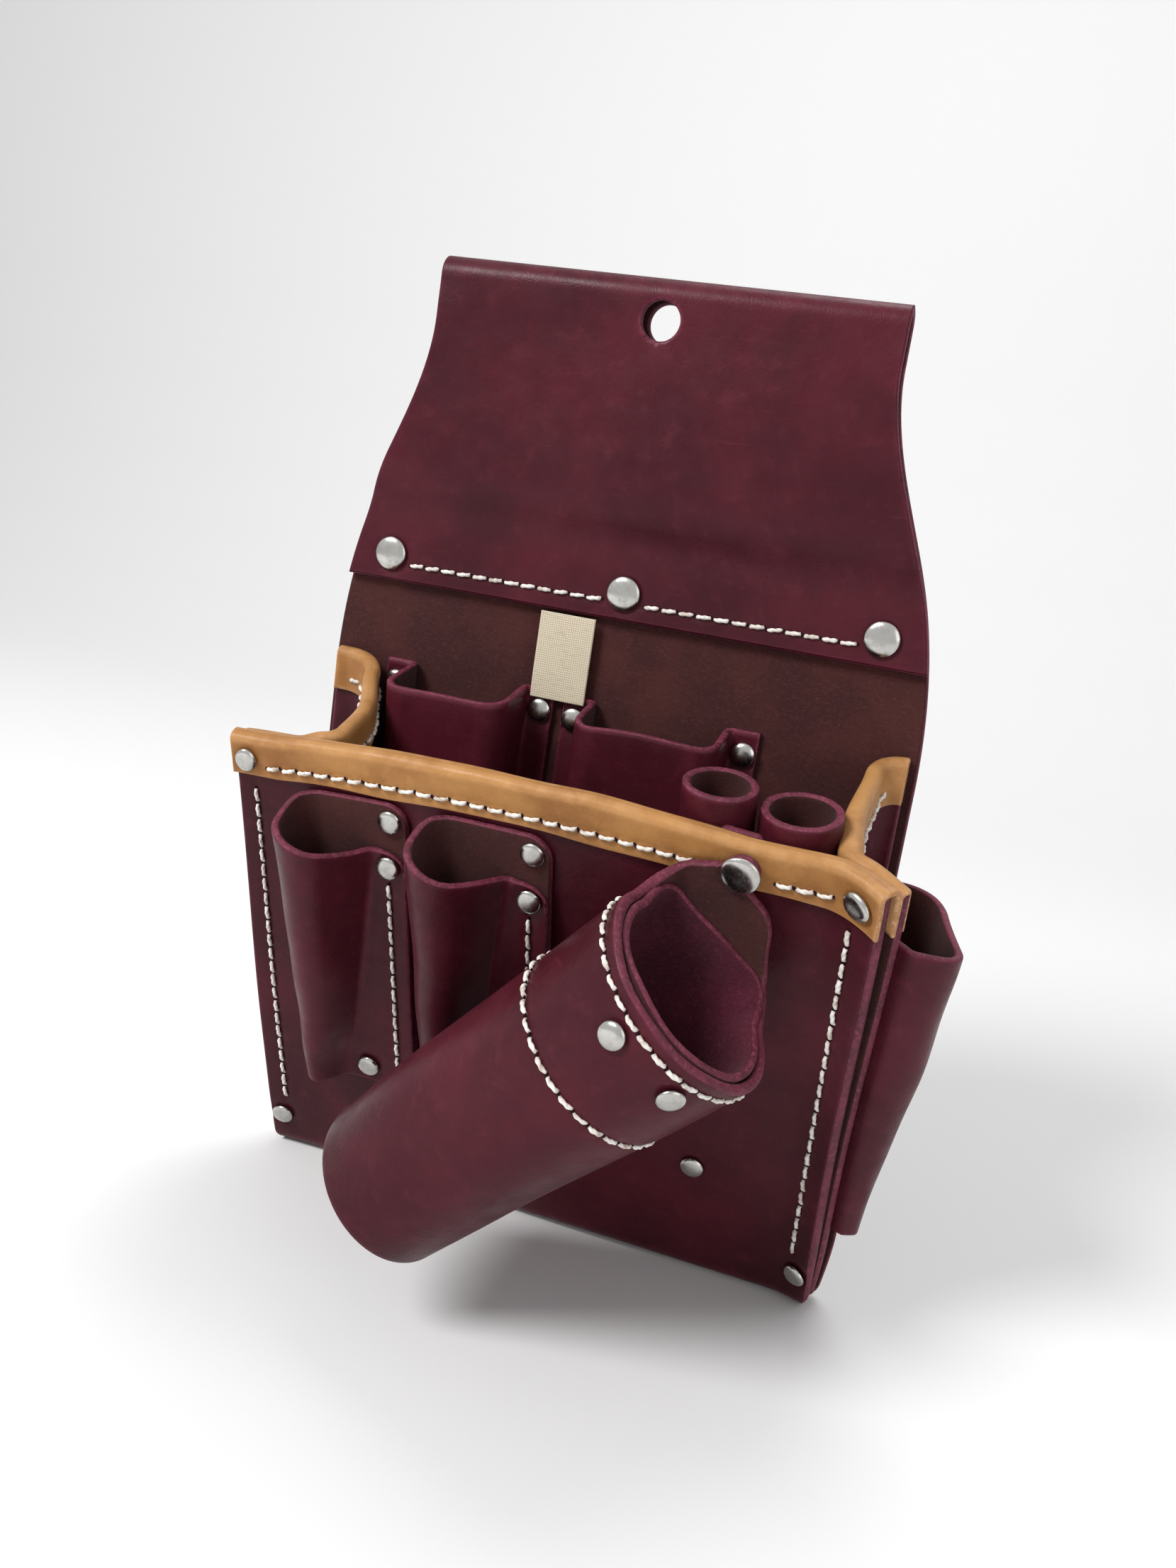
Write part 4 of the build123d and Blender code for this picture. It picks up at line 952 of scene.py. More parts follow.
def body_panel():
    """Flap, top fold, back, bottom fold and leaning front panel, from the flap's lower edge on."""
    turn = acos(1 - (FOLD_GAP - FLAP_GAP) / (2 * FLAP_BEND))
    rise = 2 * FLAP_BEND * sin(turn)
    straight = TOP_Z - OUTER_R - FLAP_LOW_Z - FLAP_FLAT - rise
    path = Path((FLAP_FACE_Y + PANEL_T / 2, FLAP_LOW_Z), 90,
                [(FLAP_FLAT,), (FLAP_BEND, degrees(turn)), (FLAP_BEND, -degrees(turn)), (straight,),
                 (MID_R, -180), (BAG_HEIGHT - 2 * OUTER_R,), (MID_R, degrees(PANEL_LEAN) - 180),
                 (PANEL_LENGTH - FOOT_S,)])
    fold_in, fold_out, foot_in, foot_out = path.ends[4:8]
    fine = [6.0, 9.0]
    for start, end in ((fold_in, fold_out), (foot_in, foot_out)):
        fine += [start, (start + end) / 2, end]
    for hole in (fold_in - (TOP_Z - OUTER_R), fold_out + (TOP_Z - OUTER_R)):
        fine += [hole - 5, hole, hole + 5]
    lengths = rows(0, path.length, 3.1, fine, 0.75, 0.16)
    yz = path.at(path.stations(lengths))
    seam_x = EDGE - SEAM_INSET
    shares = rows(-EDGE, EDGE, 3.3, [-seam_x, seam_x, -5.5, 0.0, 5.5], 0.7, 0.16) / EDGE
    on_front = lengths > foot_in
    half = half_width(yz[:, 1])
    grid = cross_sheet(shares, yz)
    grid[..., 0] *= half
    edge_fall = np.clip((1 - np.abs(shares)) * EDGE / 14, 0, 1)[:, None]
    flap_part = smooth(lengths, 14, 40) * (1 - smooth(lengths, fold_in - 14, fold_in - 2))
    sway = wobble(grid, 95, 3) * flap_part[None] * 0.9
    panel_part = smooth(lengths, foot_out + 20, foot_out + 70) \
        * (1 - smooth(lengths, path.length - 40, path.length - 14))
    sway += wobble(grid, 80, 8) * panel_part[None] * 0.25 * edge_fall
    out = np.where(on_front[None, :, None], OUT, np.array([0.0, -1.0, 0.0]))
    grid += out * sway[..., None]
    grid[..., 1] -= (np.abs(shares)[:, None] ** 3) * flap_part[None] * 0.8
    grid, keep = cut_round_hole(grid, HOLE_R)
    pressed = pressing(grid, ["flap_rivets", "corner_rivets", "front_low_rivet",
                              "inner_pocket_rivets"],
                       ["flap_stitches", "side_seam_stitches_left", "side_seam_stitches_right"])
    leather("body_leather", BURGUNDY, "body_panel", grid, PANEL_T, 1, keep=keep, pressed=pressed)


def cut_round_hole(grid, radius):
    """Leave out the faces inside the hanging hole and draw their rim onto its circle."""
    far = np.hypot(grid[..., 0], grid[..., 2])
    inside = far < radius
    count = (inside[:-1, :-1].astype(int) + inside[1:, :-1] + inside[:-1, 1:] + inside[1:, 1:])
    keep = count < 2
    gone = ~keep
    touched = np.zeros(grid.shape[:2], bool)
    stay = np.zeros(grid.shape[:2], bool)
    for di in (0, 1):
        for dj in (0, 1):
            touched[di:grid.shape[0] - 1 + di, dj:grid.shape[1] - 1 + dj] |= gone
            stay[di:grid.shape[0] - 1 + di, dj:grid.shape[1] - 1 + dj] |= keep
    scale = np.where(touched & stay, radius / np.maximum(far, 0.1), 1.0)
    grid = grid.copy()
    grid[..., 0] *= scale
    grid[..., 2] *= scale
    return grid, keep


# ---- bindings --------------------------------------------------------------------------------
def binding_path(inner, drop, corner=1.6):
    """Section of a binding round an edge: (off the middle, up from the lip)."""
    reach = inner / 2 + TRIM_T / 2
    side = drop + TRIM_T / 2 - corner
    return Path((reach, -drop), 90,
                [(side,), (corner, 90), (2 * (reach - corner),), (corner, 90), (side,)])


def binding_grid(lip, down, normal, inner, step, growth, hems=()):
    """Binding over a lip given by its points, the ways down and off the leather."""
    path = binding_path(inner, TRIM_DROP)
    fine = [*path.ends[1:5], *hems, *(path.length - hem for hem in hems)]
    lengths = rows(0, path.length, step, fine, 0.45, growth)
    section = path.at(path.stations(lengths))
    grid = (lip[:, None] + normal[:, None] * section[None, :, :1]
            - down[:, None] * section[None, :, 1:])
    return grid, section


def front_binding():
    xs = rows(-EDGE - 0.8, EDGE + 0.8, 2.0)
    lip = front(xs, PANEL_LENGTH, -PANEL_T / 2)
    down, normal = np.tile(-UP, (len(xs), 1)), np.tile(OUT, (len(xs), 1))
    grid, section = binding_grid(lip, down, normal, PANEL_T, 1.4, 0.35, (4.0,))
    hem = smooth(-section[:, 1], TRIM_DROP * 0.4, TRIM_DROP)[None]
    grid = grid + UP * (wobble(grid, 30, 21) * hem * 0.5)[..., None]
    crown = smooth(section[:, 1], -4, 0)[None]
    grid = grid + UP * (wobble(grid, 36, 22) * crown * 0.35)[..., None]
    pressed = pressing(grid, ["trim_rivets"], ["trim_front_stitches"])
    leather("front_binding", TAN, "trim_front", grid, TRIM_T, 1, pressed=pressed)


# ---- gussets ---------------------------------------------------------------------------------
LOFT_LOW, LOFT_TOP = 6.0, 200.0
FOOT_BEND, BACK_FLANGE_SHORT = 1.6, 3.0
# hand, flange at the top and the foot, lean of the wall, the two bends at the top, inward bulge
GUSSET_SIDES = {"left": (-1, 29.0, 20.0, 15.6, (5.0, 15.0), 4.0),
                "right": (1, 8.0, 8.0, 0.0, (4.5, 9.0), 1.6)}


def gusset_path(side, height):
    _, top_flange, foot_flange, lean, top_bends, _ = GUSSET_SIDES[side]
    share = (height - LOFT_LOW) / (LOFT_TOP - LOFT_LOW)
    bends = [FOOT_BEND + (bend - FOOT_BEND) * share for bend in top_bends]
    lean_sin, lean_cos = sin(radians(lean)), cos(radians(lean))
    flange = foot_flange + (top_flange - foot_flange) * share
    start = front_y(height, -PANEL_T - seam_gap(height)) + GUSSET_T / 2
    back = -PANEL_T - back_gap(height) - GUSSET_T / 2
    wall = (back - start - bends[0] * (1 + lean_sin) - bends[1] * (1 - lean_sin)) / lean_cos
    back_flange = (flange - BACK_FLANGE_SHORT + (bends[0] - bends[1]) * lean_cos
                   - wall * lean_sin)
    return Path((-EDGE, start), 0, [(flange,), (bends[0], 90 + lean), (wall,),
                                    (bends[1], 90 - lean), (back_flange,)])


def gusset_lip(y):
    """Height of the gussets' lip at a depth: it climbs from the front panel to the back."""
    back_y, front_lip_y = -PANEL_T, front_y(FRONT_TOP_H, -PANEL_T)
    slope = (GUSSET_TOP_BACK - FRONT_TOP_H) / (back_y - front_lip_y)
    return GUSSET_TOP_BACK + slope * (y - back_y)


def gusset_grid(side):
    """Foot line, head line and lip height of a gusset, and how far each line bulges inwards."""
    low, high = gusset_path(side, LOFT_LOW), gusset_path(side, LOFT_TOP)
    legs = high.ends
    fine = [*legs[1:5], (legs[1] + legs[2]) / 2, (legs[3] + legs[4]) / 2]
    lengths, _, foot, head = matched(low, high, 2.0, fine, 0.6, 0.3)
    rate = (head[:, 1] - foot[:, 1]) / (LOFT_TOP - LOFT_LOW)
    start = gusset_lip(foot[:, 1] - rate * LOFT_LOW)
    slope = gusset_lip(1.0) - gusset_lip(0.0)
    lip = start / (1 - slope * rate)
    # the front flange ends below the front binding's edge
    lip -= 2.4 * (1 - smooth(lengths, legs[1] - 9, legs[1] + 1))
    along = np.clip((lengths - legs[1]) / (legs[4] - legs[1]) / 0.8, 0, 1)
    bulge = np.sin(pi * along) ** 2 * GUSSET_SIDES[side][-1]
    return foot, head, lip, bulge


def gusset_points(side, foot, head, bulge, heights):
    """Points of a gusset; the lines are drawn for the left side and mirrored for the right."""
    grid = upright(between(foot, head, heights, LOFT_LOW, LOFT_TOP), heights)
    grid[..., 0] += bulge[:, None] * smooth(heights, 60, 170)
    grid[..., 0] *= -GUSSET_SIDES[side][0]
    return grid


def gussets():
    for side, (hand, *_) in GUSSET_SIDES.items():
        foot, head, lip, bulge = gusset_grid(side)
        grid = gusset_points(side, foot, head, bulge, heights_to(lip, LOFT_LOW, 0.019, 0.004))
        leather(f"gusset_{side}_leather", BURGUNDY, "gusset_" + side, grid, GUSSET_T, hand)
        top = gusset_points(side, foot, head, bulge, lip[:, None])[:, 0]
        below = gusset_points(side, foot, head, bulge, lip[:, None] - TRIM_DROP)[:, 0]
        down = unit(below - top)
        normal = unit(np.cross(np.gradient(top, axis=0), down))
        edging, section = binding_grid(top, down, normal, GUSSET_T, 1.6, 0.4)
        hem = smooth(-section[:, 1], TRIM_DROP * 0.35, TRIM_DROP)[None]
        edging = edging + down[:, None] * (wobble(edging, 26, 31 + hand) * hem * 0.45)[..., None]
        leather(f"gusset_{side}_binding", TAN, "trim_" + side, edging, TRIM_T, -1)
        seats = []
        for face in (-1, 1):
            line = top + down * 9.0 + normal * face * (GUSSET_T / 2 + TRIM_T + 0.05)
            seats += line_seam(line[4:-4], normal[4:-4] * face)
        finish_piece(thread_piece(f"gusset_{side}", seats, 240 + hand), "pouch", "thread")


# ---- pliers holsters -------------------------------------------------------------------------
PLIERS_FOOT, PLIERS_ENDS, PLIERS_SAG, PLIERS_FLANGE = 38.0, 150.0, 5.0, 7.6
PLIERS_LIP_LIFT, PLIERS_FOOT_REACH = 2.2, 0.4
# turn of the front bend, radius of the two bends at the lip, reach past the edge, fullness
PLIERS_SIDES = {"left": (60.0, 6.0, 10.0, -2.5, 0.8), "right": (90.0, 12.5, 12.5, 2.2, 2.2)}


def pliers_path(side, height):
    turn, front_bend, back_bend, reach, _ = PLIERS_SIDES[side]
    share = (height - PLIERS_FOOT) / (PLIERS_ENDS - PLIERS_FOOT)
    bends = [bend * (0.3 + 0.7 * share) for bend in (front_bend, back_bend)]
    turn_sin, turn_cos = sin(radians(turn)), cos(radians(turn))
    start = front_y(height, -PANEL_T - seam_gap(height)) + GUSSET_T + POCKET_T / 2
    back = -PANEL_T - back_gap(height) - GUSSET_T - POCKET_T / 2
    wall = (back - start - bends[0] * (1 - turn_cos) - bends[1] * (1 + turn_cos)) / turn_sin
    out = PLIERS_FLANGE + PLIERS_FOOT_REACH + (reach - PLIERS_FOOT_REACH) * share
    home = out + (bends[0] - bends[1]) * turn_sin + wall * turn_cos
    return Path((EDGE - PLIERS_FLANGE, start), 0,
                [(out,), (bends[0], turn), (wall,), (bends[1], 180 - turn), (home,)])


def pliers_holster(side):
    low, high = pliers_path(side, PLIERS_FOOT), pliers_path(side, PLIERS_ENDS)
    _, _, foot, head = matched(low, high, 2.0, high.ends[1:5], 0.9, 0.3)
    lip_front, lip_back = front_y(PLIERS_ENDS), 0.0
    half = (lip_back - lip_front) / 2
    arc_r = (half ** 2 + PLIERS_SAG ** 2) / (2 * PLIERS_SAG)
    y = np.clip(head[:, 1] - (lip_front + half), -half, half)
    lip = PLIERS_ENDS - PLIERS_SAG + arc_r - np.sqrt(arc_r ** 2 - y ** 2) + PLIERS_LIP_LIFT
    heights = heights_to(lip, PLIERS_FOOT, 0.02, 0.005)
    grid = upright(between(foot, head, heights, PLIERS_FOOT, PLIERS_ENDS), heights)
    hand = -1 if side == "left" else 1
    loose = smooth(grid[..., 0], EDGE + 1, EDGE + 10)
    full = np.sin(pi * np.clip((heights - PLIERS_FOOT - 12) / 118, 0, 1)) ** 1.2
    grid[..., 0] += loose * (wobble(grid, 60, 41 + hand) * 0.6 + full * PLIERS_SIDES[side][-1])
    grid[..., 0] *= hand
    leather(f"pliers_{side}_leather", BURGUNDY, "pliers_holster_" + side, grid, POCKET_T, hand)


# ---- pockets and tubes inside ------------------------------------------------------------------
INNER_ROOT, INNER_CORNER = 2.0, 8.0


def inner_path(left, right, depth, corner):
    """Plan of a pocket: flange, root, side wall, corner, front, and the same back again."""
    wall = depth - INNER_ROOT - corner
    flange = INNER_FLANGE - INNER_ROOT
    return Path((left - INNER_FLANGE, -PANEL_T - POCKET_T / 2), 0,
                [(flange,), (INNER_ROOT, -90), (wall,), (corner, 90), (right - left - 2 * corner,),
                 (corner, 90), (wall,), (INNER_ROOT, -90), (flange,)])


def inner_pockets():
    for number, (name, sizes) in enumerate(INNER_POCKETS.items()):
        left, right, lip, foot_h, depth, foot_depth = sizes
        lip_top = lip + INNER_LIP_RISE
        low = inner_path(left, right, foot_depth, INNER_CORNER / 2)
        high = inner_path(left, right, depth, INNER_CORNER)
        _, _, foot, head = matched(low, high, 2.2, high.ends[1:9], 0.7, 0.3)
        out = np.clip((-PANEL_T - head[:, 1]) / depth, 0, 1)
        heights = heights_to(lip_top - INNER_LIP_RISE * out, foot_h, 0.022, 0.005)
        grid = upright(between(foot, head, heights, foot_h, lip_top), heights)
        sag = smooth(-grid[..., 1], PANEL_T + 8, PANEL_T + 16) * smooth(heights, lip - 40, lip)
        grid[..., 1] += sag * wobble(grid, 34, 51 + number) * 0.8
        grid[..., 2] += sag * wobble(grid, 46, 61 + number) * 0.6
        leather(name + "_leather", BURGUNDY, name, grid, POCKET_T, 1,
                pressed=pressing(grid, ["inner_pocket_rivets"]))


TUBE_FOOT, TUBE_TAB_H, TUBE_STRAP_TOP, TUBE_SIDES = 68.0, 24.0, 80.0, 64
# middle's x, diameter, lip above the front edge, side of the strap
TOOL_TUBES = {"chisel_tube": (51.0, 22.5, 9.0, 1), "knife_tube": (75.3, 24.5, 6.0, -1)}


def plate(piece, x0, x1, s0, s1, h, corner=3.0):
    """Flat strap of pocket leather with rounded corners in the front panel's frame."""
    xs, ss = rows(x0, x1, 1.6), rows(s0, s1, 1.6)
    grid_x, grid_s = np.meshgrid(xs, ss, indexing="ij")
    mid_x, mid_s, half_x, half_s = (x0 + x1) / 2, (s0 + s1) / 2, (x1 - x0) / 2, (s1 - s0) / 2
    over = np.clip(np.abs(grid_s - mid_s) - (half_s - corner), 0, corner)
    narrow = half_x - corner + np.sqrt(corner ** 2 - (over * 0.96) ** 2)
    grid_x = mid_x + (grid_x - mid_x) * narrow / half_x
    piece.sheet(front(grid_x, grid_s, h), POCKET_T, 1)


def tool_tubes():
    for number, (name, (middle, diameter, rise, hand)) in enumerate(TOOL_TUBES.items()):
        piece = Piece(name + "_leather", BURGUNDY)
        radius = (diameter - POCKET_T) / 2
        turns = np.arange(TUBE_SIDES) * 2 * pi / TUBE_SIDES
        ss = rows(TUBE_FOOT, PANEL_LENGTH + rise, 2.2)
        turn, s = np.meshgrid(turns, ss, indexing="ij")
        h0 = TAB_FACE - SEAT_GAP - diameter / 2
        ring = np.stack([np.cos(turn), np.zeros_like(turn), np.sin(turn)], -1) * radius
        uneven = wobble(ring + s[..., None] * np.array([0, 1, 0]), 40, 71 + number) * 0.35
        near_lip = smooth(s, PANEL_LENGTH - 20, PANEL_LENGTH + rise)
        radius_now = radius - np.abs(uneven) * near_lip
        s_now = s + near_lip * 0.9 * np.cos(turn - 1.1) - near_lip * 0.9
        grid = front(middle + radius_now * np.cos(turn), s_now, h0 + radius_now * np.sin(turn))
        piece.sheet(grid, POCKET_T, -1, closed=True)
        rivet_x, rivet_s = LOW_RIVET
        if hand > 0:
            plate(piece, middle + 3, PIVOT_X + 3.6, PANEL_LENGTH - TUBE_TAB_H, PANEL_LENGTH + 1,
                  TAB_FACE - POCKET_T / 2)
            plate(piece, middle + 1, rivet_x + 6, rivet_s - 7, TUBE_STRAP_TOP,
                  -PANEL_T - POCKET_T / 2)
        else:
            low = -PANEL_T - 1.5 * POCKET_T
            plate(piece, rivet_x - 6, middle, rivet_s - 7, rivet_s + 7, low)
            plate(piece, middle - 7, middle, rivet_s, TUBE_STRAP_TOP, low)
        finish_piece(piece, "pouch", "burgundy_leather", name)


# ---- sheaths -----------------------------------------------------------------------------------
SHEATH_FOOT_BEND, SHEATH_LIP_BEND, SHEATH_ROOT, SHEATH_SLOPE = 5.2, 10.0, 4.0, 50.0
SHEATH_CORNER_R, SHEATH_FULL, SHEATH_GAPE = 8.0, 1.7, 0.7


def sheath_path(name, bend):
    """Section in (x, h): back layer, fold, the front layer's slope, its root and its flat."""
    fold_x, seam_x = SHEATHS[name]
    outer_x, turn, root = seam_x + SHEATH_MARGIN, radians(SHEATH_SLOPE), SHEATH_ROOT
    bend_x = fold_x + bend + POCKET_T / 2
    drop = bend * (1 + cos(turn)) + POCKET_T - SHEATH_STACK - root * (1 - cos(turn))
    slope = drop / sin(turn)
    flat_x = bend_x + bend * sin(turn) + slope * cos(turn) + root * sin(turn)
    return Path((outer_x, POCKET_T / 2), 180,
                [(outer_x - bend_x,), (bend, -180 - SHEATH_SLOPE), (slope,), (root, SHEATH_SLOPE),
                 (outer_x - flat_x,)])


def curve_through(points, count=24):
    """Smooth line through a few (x, y) points."""
    points = np.array(points, float)
    padded = np.concatenate([2 * points[:1] - points[1:2], points, 2 * points[-1:] - points[-2:-1]])
    line = []
    for k in range(1, len(padded) - 2):
        p0, p1, p2, p3 = padded[k - 1:k + 3]
        for t in np.arange(count) / count:
            line.append(0.5 * (2 * p1 + (p2 - p0) * t + (2 * p0 - 5 * p1 + 4 * p2 - p3) * t ** 2
                               + (3 * p1 - p0 - 3 * p2 + p3) * t ** 3))
    return np.array([*line, points[-1]])


def sheaths():
    for number, (name, (fold_x, seam_x)) in enumerate(SHEATHS.items()):
        low, high = sheath_path(name, SHEATH_FOOT_BEND), sheath_path(name, SHEATH_LIP_BEND)
        fine = [SHEATH_MARGIN, *high.ends[1:5], high.length - SHEATH_MARGIN]
        _, stations, foot, head = matched(low, high, 1.7, fine, 0.6, 0.25)
        outer_x = seam_x + SHEATH_MARGIN
        lip_line = curve_through([(fold_x - 3, SHEATH_TOP - 1), (fold_x + 4, SHEATH_LIP + 7.5),
                                  (fold_x + 13, SHEATH_LIP + 3.8), (seam_x - 8, SHEATH_LIP - 1.6),
                                  (seam_x + 3, SHEATH_LIP - 4.8),
                                  (outer_x + 2, SHEATH_LIP - 13.5)])
        lip = np.interp(head[:, 0], lip_line[:, 0], lip_line[:, 1])
        leg = np.floor(stations)
        turned = smooth(head[:, 1], POCKET_T + 1.5, 13.0) * (leg >= 1)
        turned = np.where(leg >= 2, 1.0, turned)
        top = SHEATH_TOP + (lip - SHEATH_TOP) * turned
        over = np.clip(SHEATH_CORNER_R - (outer_x - head[:, 0]), 0, SHEATH_CORNER_R)
        corner = SHEATH_CORNER_R - np.sqrt(np.maximum(SHEATH_CORNER_R ** 2 - over ** 2, 0.3))
        top = np.where(leg < 1, SHEATH_TOP - corner, top)
        shares = rows(0, 1, 0.017, [0.07], 0.008, 0.4, 0.0045)
        s = SHEATH_FOOT + (top[:, None] - SHEATH_FOOT) * shares[None]
        section = between(foot, head, s, SHEATH_FOOT, SHEATH_TOP)
        x, h = section[..., 0], section[..., 1]
        is_front = (leg >= 1)[:, None] * 1.0
        # the foot rivet pinches the wrap flat round it
        pinch_x, pinch_s = seam_x - FOOT_RIVET_IN, SHEATH_FOOT + FOOT_RIVET_UP
        away = np.hypot((x - pinch_x) / 1.25, (s - pinch_s) / 1.5)
        squeeze = (1 - smooth(away, 3.0, 15.0)) * is_front * smooth(h, POCKET_T, POCKET_T + 1.5)
        h = h + (POCKET_T * 1.5 + 0.1 - h) * squeeze
        # the wrap stays rounded out down to its seam
        full = np.sin(pi * np.clip((stations - 1.2) / 2.0, 0, 1)) ** 2
        full = full[:, None] * smooth(s, SHEATH_FOOT + 8, SHEATH_FOOT + 45)
        h = h + SHEATH_FULL * full
        # the lip opens a little and the wall is not quite even
        body = smooth(h, SHEATH_STACK + 1, SHEATH_STACK + 7)
        h = h + body * wobble(np.stack([x, s, h], -1), 44, 81 + number) * 0.55
        h = h + smooth(s, SHEATH_LIP - 26, SHEATH_LIP) * body * SHEATH_GAPE
        grid = front(x, s, h)
        pressed = pressing(grid, [name + "_rivets"], [name + "_stitches"])
        pressed *= (leg >= 2)[:, None]
        leather(name + "_leather", BURGUNDY, name, grid, POCKET_T, 1, pressed=pressed)


# ---- hammer holster ----------------------------------------------------------------------------
# radius of the pivot's ear, the radius that the flat back is unrolled at, and the depth where the
# rows that follow the mouth's edge end
EAR_R, HOLSTER_FLAT, MOUTH_ROWS_END = 5.4, 29.0, 12.5


def off_axis(places, depth):
    """The ways outwards from the tube's axis."""
    return unit(places - (MOUTH + depth[..., None] * TUBE_AXIS))


def holster_surface(beside, depth, inset):
    """Tube wall `inset` inside its outer face, with `beside` the angle from the middle of its back.

    The back is pressed flat towards the pivot, where it lies on the front binding."""
    place = tube_point(depth, pi - beside, -inset)
    lateral = beside * HOLSTER_FLAT
    flat = np.stack([HOLSTER_SIDE + lateral, -HOLSTER_DROP - depth * cos(HOLSTER_LEAN),
                     np.broadcast_to(TONGUE_BACK + inset, np.shape(depth))], -1)
    wide = 8.0 * smooth(-depth, 0, 12)
    share = (1 - smooth(np.abs(lateral), 15 + wide, 34 + wide)) * (1 - smooth(depth, -4, 28))
    return place + (flat - place) * share[..., None]


def holster_top(beside):
    """Depth of the mouth's edge: it rises at the back to a low shoulder and the pivot's ear."""
    x = HOLSTER_SIDE + beside * HOLSTER_FLAT
    line = curve_through([(-26, -17.5), (-20, -17.2), (-14, -14), (-9, -8), (-5.6, -3.4),
                          (0, -2.6), (8, -2.2), (14, -2.6), (19, -5.0), (23.5, -9.6),
                          (28, -14), (33, -16.8), (39, -17.5)])
    top = np.interp(x, line[:, 0], line[:, 1])
    ear = np.where(np.abs(x) < EAR_R, np.sqrt(np.maximum(EAR_R ** 2 - x ** 2, 0)), -HOLSTER_DROP)
    return -(np.maximum(top, ear) + HOLSTER_DROP) / cos(HOLSTER_LEAN)


def holster_columns():
    ear = [(x - HOLSTER_SIDE) / HOLSTER_FLAT for x in (-EAR_R, -4.2, 0.0, 4.2, EAR_R)]
    rivets = [pi - COLLAR_RIVET_ANGLE, COLLAR_RIVET_ANGLE - pi]
    step = 1.9 / HOLSTER_FLAT
    return rows(-pi, pi, step, [*ear, *rivets], 0.35 / HOLSTER_FLAT, 0.16, step)[:-1]


def hammer_holster():
    beside = holster_columns()
    top = holster_top(beside)
    upper = np.linspace(0, 1, 15)[:-1]
    lower = rows(MOUTH_ROWS_END, HOLSTER_LENGTH, 2.3, [COLLAR_SEAM_DEPTH], 0.75, 0.3, 0.9)
    depth = np.concatenate([top[:, None] + (MOUTH_ROWS_END - top[:, None]) * upper ** 0.9,
                            np.broadcast_to(lower, (len(beside), len(lower)))], 1)
    turn = np.broadcast_to(beside[:, None], depth.shape)
    wall = holster_surface(turn, depth, PANEL_T / 2)
    free = smooth(np.abs(turn), 0.8, 1.6)
    swell = free * wobble(wall, 70, 91) * 0.5
    slack = smooth(depth, HOLSTER_LENGTH - 34, HOLSTER_LENGTH) * np.cos(2 * turn) * 0.9 * free
    wall = wall + off_axis(wall, depth) * (swell + slack)[..., None]
    rim = (1 - smooth(depth, 0, 9)) * free
    wall = wall + TUBE_AXIS * (rim * wobble(wall, 38, 92) * 0.7)[..., None]
    grid = swung(wall)
    pressed = pressing(grid, ["holster_rivets", "holster_pivot_rivet"],
                       ["holster_lip_stitches", "holster_collar_stitches"])
    leather("hammer_holster_leather", BURGUNDY, "hammer_holster", grid, PANEL_T, 1,
            "hammer_holster", closed=True, pressed=pressed)


def holster_lining():
    beside = np.linspace(-pi, pi, 97)[:-1]
    turn, depth = np.meshgrid(beside, rows(-0.6, LINING_DEPTH, 2.0), indexing="ij")
    ring = holster_surface(turn, depth, PANEL_T + 0.25 + LINING_T / 2)
    ring = ring + off_axis(ring, depth) * (wobble(ring, 24, 93) * 0.25)[..., None]
    ring = ring + TUBE_AXIS * ((1 - smooth(depth, 0, 9)) * wobble(ring, 30, 94) * 0.6)[..., None]
    leather("holster_lining_suede", SUEDE, "holster_lining", swung(ring), LINING_T, -1,
            "hammer_holster", closed=True)


# ---- label ---------------------------------------------------------------------------------------
LABEL_LEFT, LABEL_RIGHT, LABEL_DROP, LABEL_CLEAR = -27.0, -8.0, 29.0, 0.9
LABEL_BEND, CLOTH_T = 0.30, 0.24


def label():
    """Blank strip of woven cloth folded double, hanging from under the flap."""
    top = FLAP_LOW_Z - LABEL_CLEAR
    layer = LABEL_DROP - LABEL_BEND - 0.2
    path = Path((FLAP_FACE_Y - LABEL_BEND, top), -90, [(layer,), (LABEL_BEND, 180), (layer,)])
    lengths = rows(0, path.length, 1.0, path.ends[1:3], 0.12, 0.3)
    grid = cross_sheet(rows(LABEL_LEFT, LABEL_RIGHT, 1.0), path.at(path.stations(lengths)))
    low = smooth(top - grid[..., 2], 4, LABEL_DROP)
    grid[..., 1] += low * wobble(grid * np.array([1, 0, 1]), 30, 101) * 0.16
    grid[..., 0] += low * wobble(grid * np.array([0, 0, 1]), 40, 102) * 0.2
    piece = Piece("label_cloth_tag", LABEL)
    piece.sheet(grid, CLOTH_T, 1, slots=(0, 0, 0))
    made = finish_piece(piece, "label", "label_cloth", "label_tag")


# ---- build ---------------------------------------------------------------------------------------
body_panel()
front_binding()
gussets()
for holster_side in PLIERS_SIDES:
    pliers_holster(holster_side)
inner_pockets()
tool_tubes()
sheaths()
hammer_holster()
holster_lining()
label()
for number, (name, seats) in enumerate(SEAMS.items()):
    body = "hammer_holster" if name.startswith("holster") else "pouch"
    finish_piece(thread_piece(name, seats, 200 + number), body, "thread", name)
for name, group in RIVETS.items():
    piece = Piece(name + "_nickel", NICKEL)
    for seat, grip, cap_r, back_r in group:
        piece.lathe(seat, rivet_profile(grip, cap_r, back_r))
    finish_piece(piece, "hammer_holster" if name == "holster_rivets" else "pouch", "nickel", name)


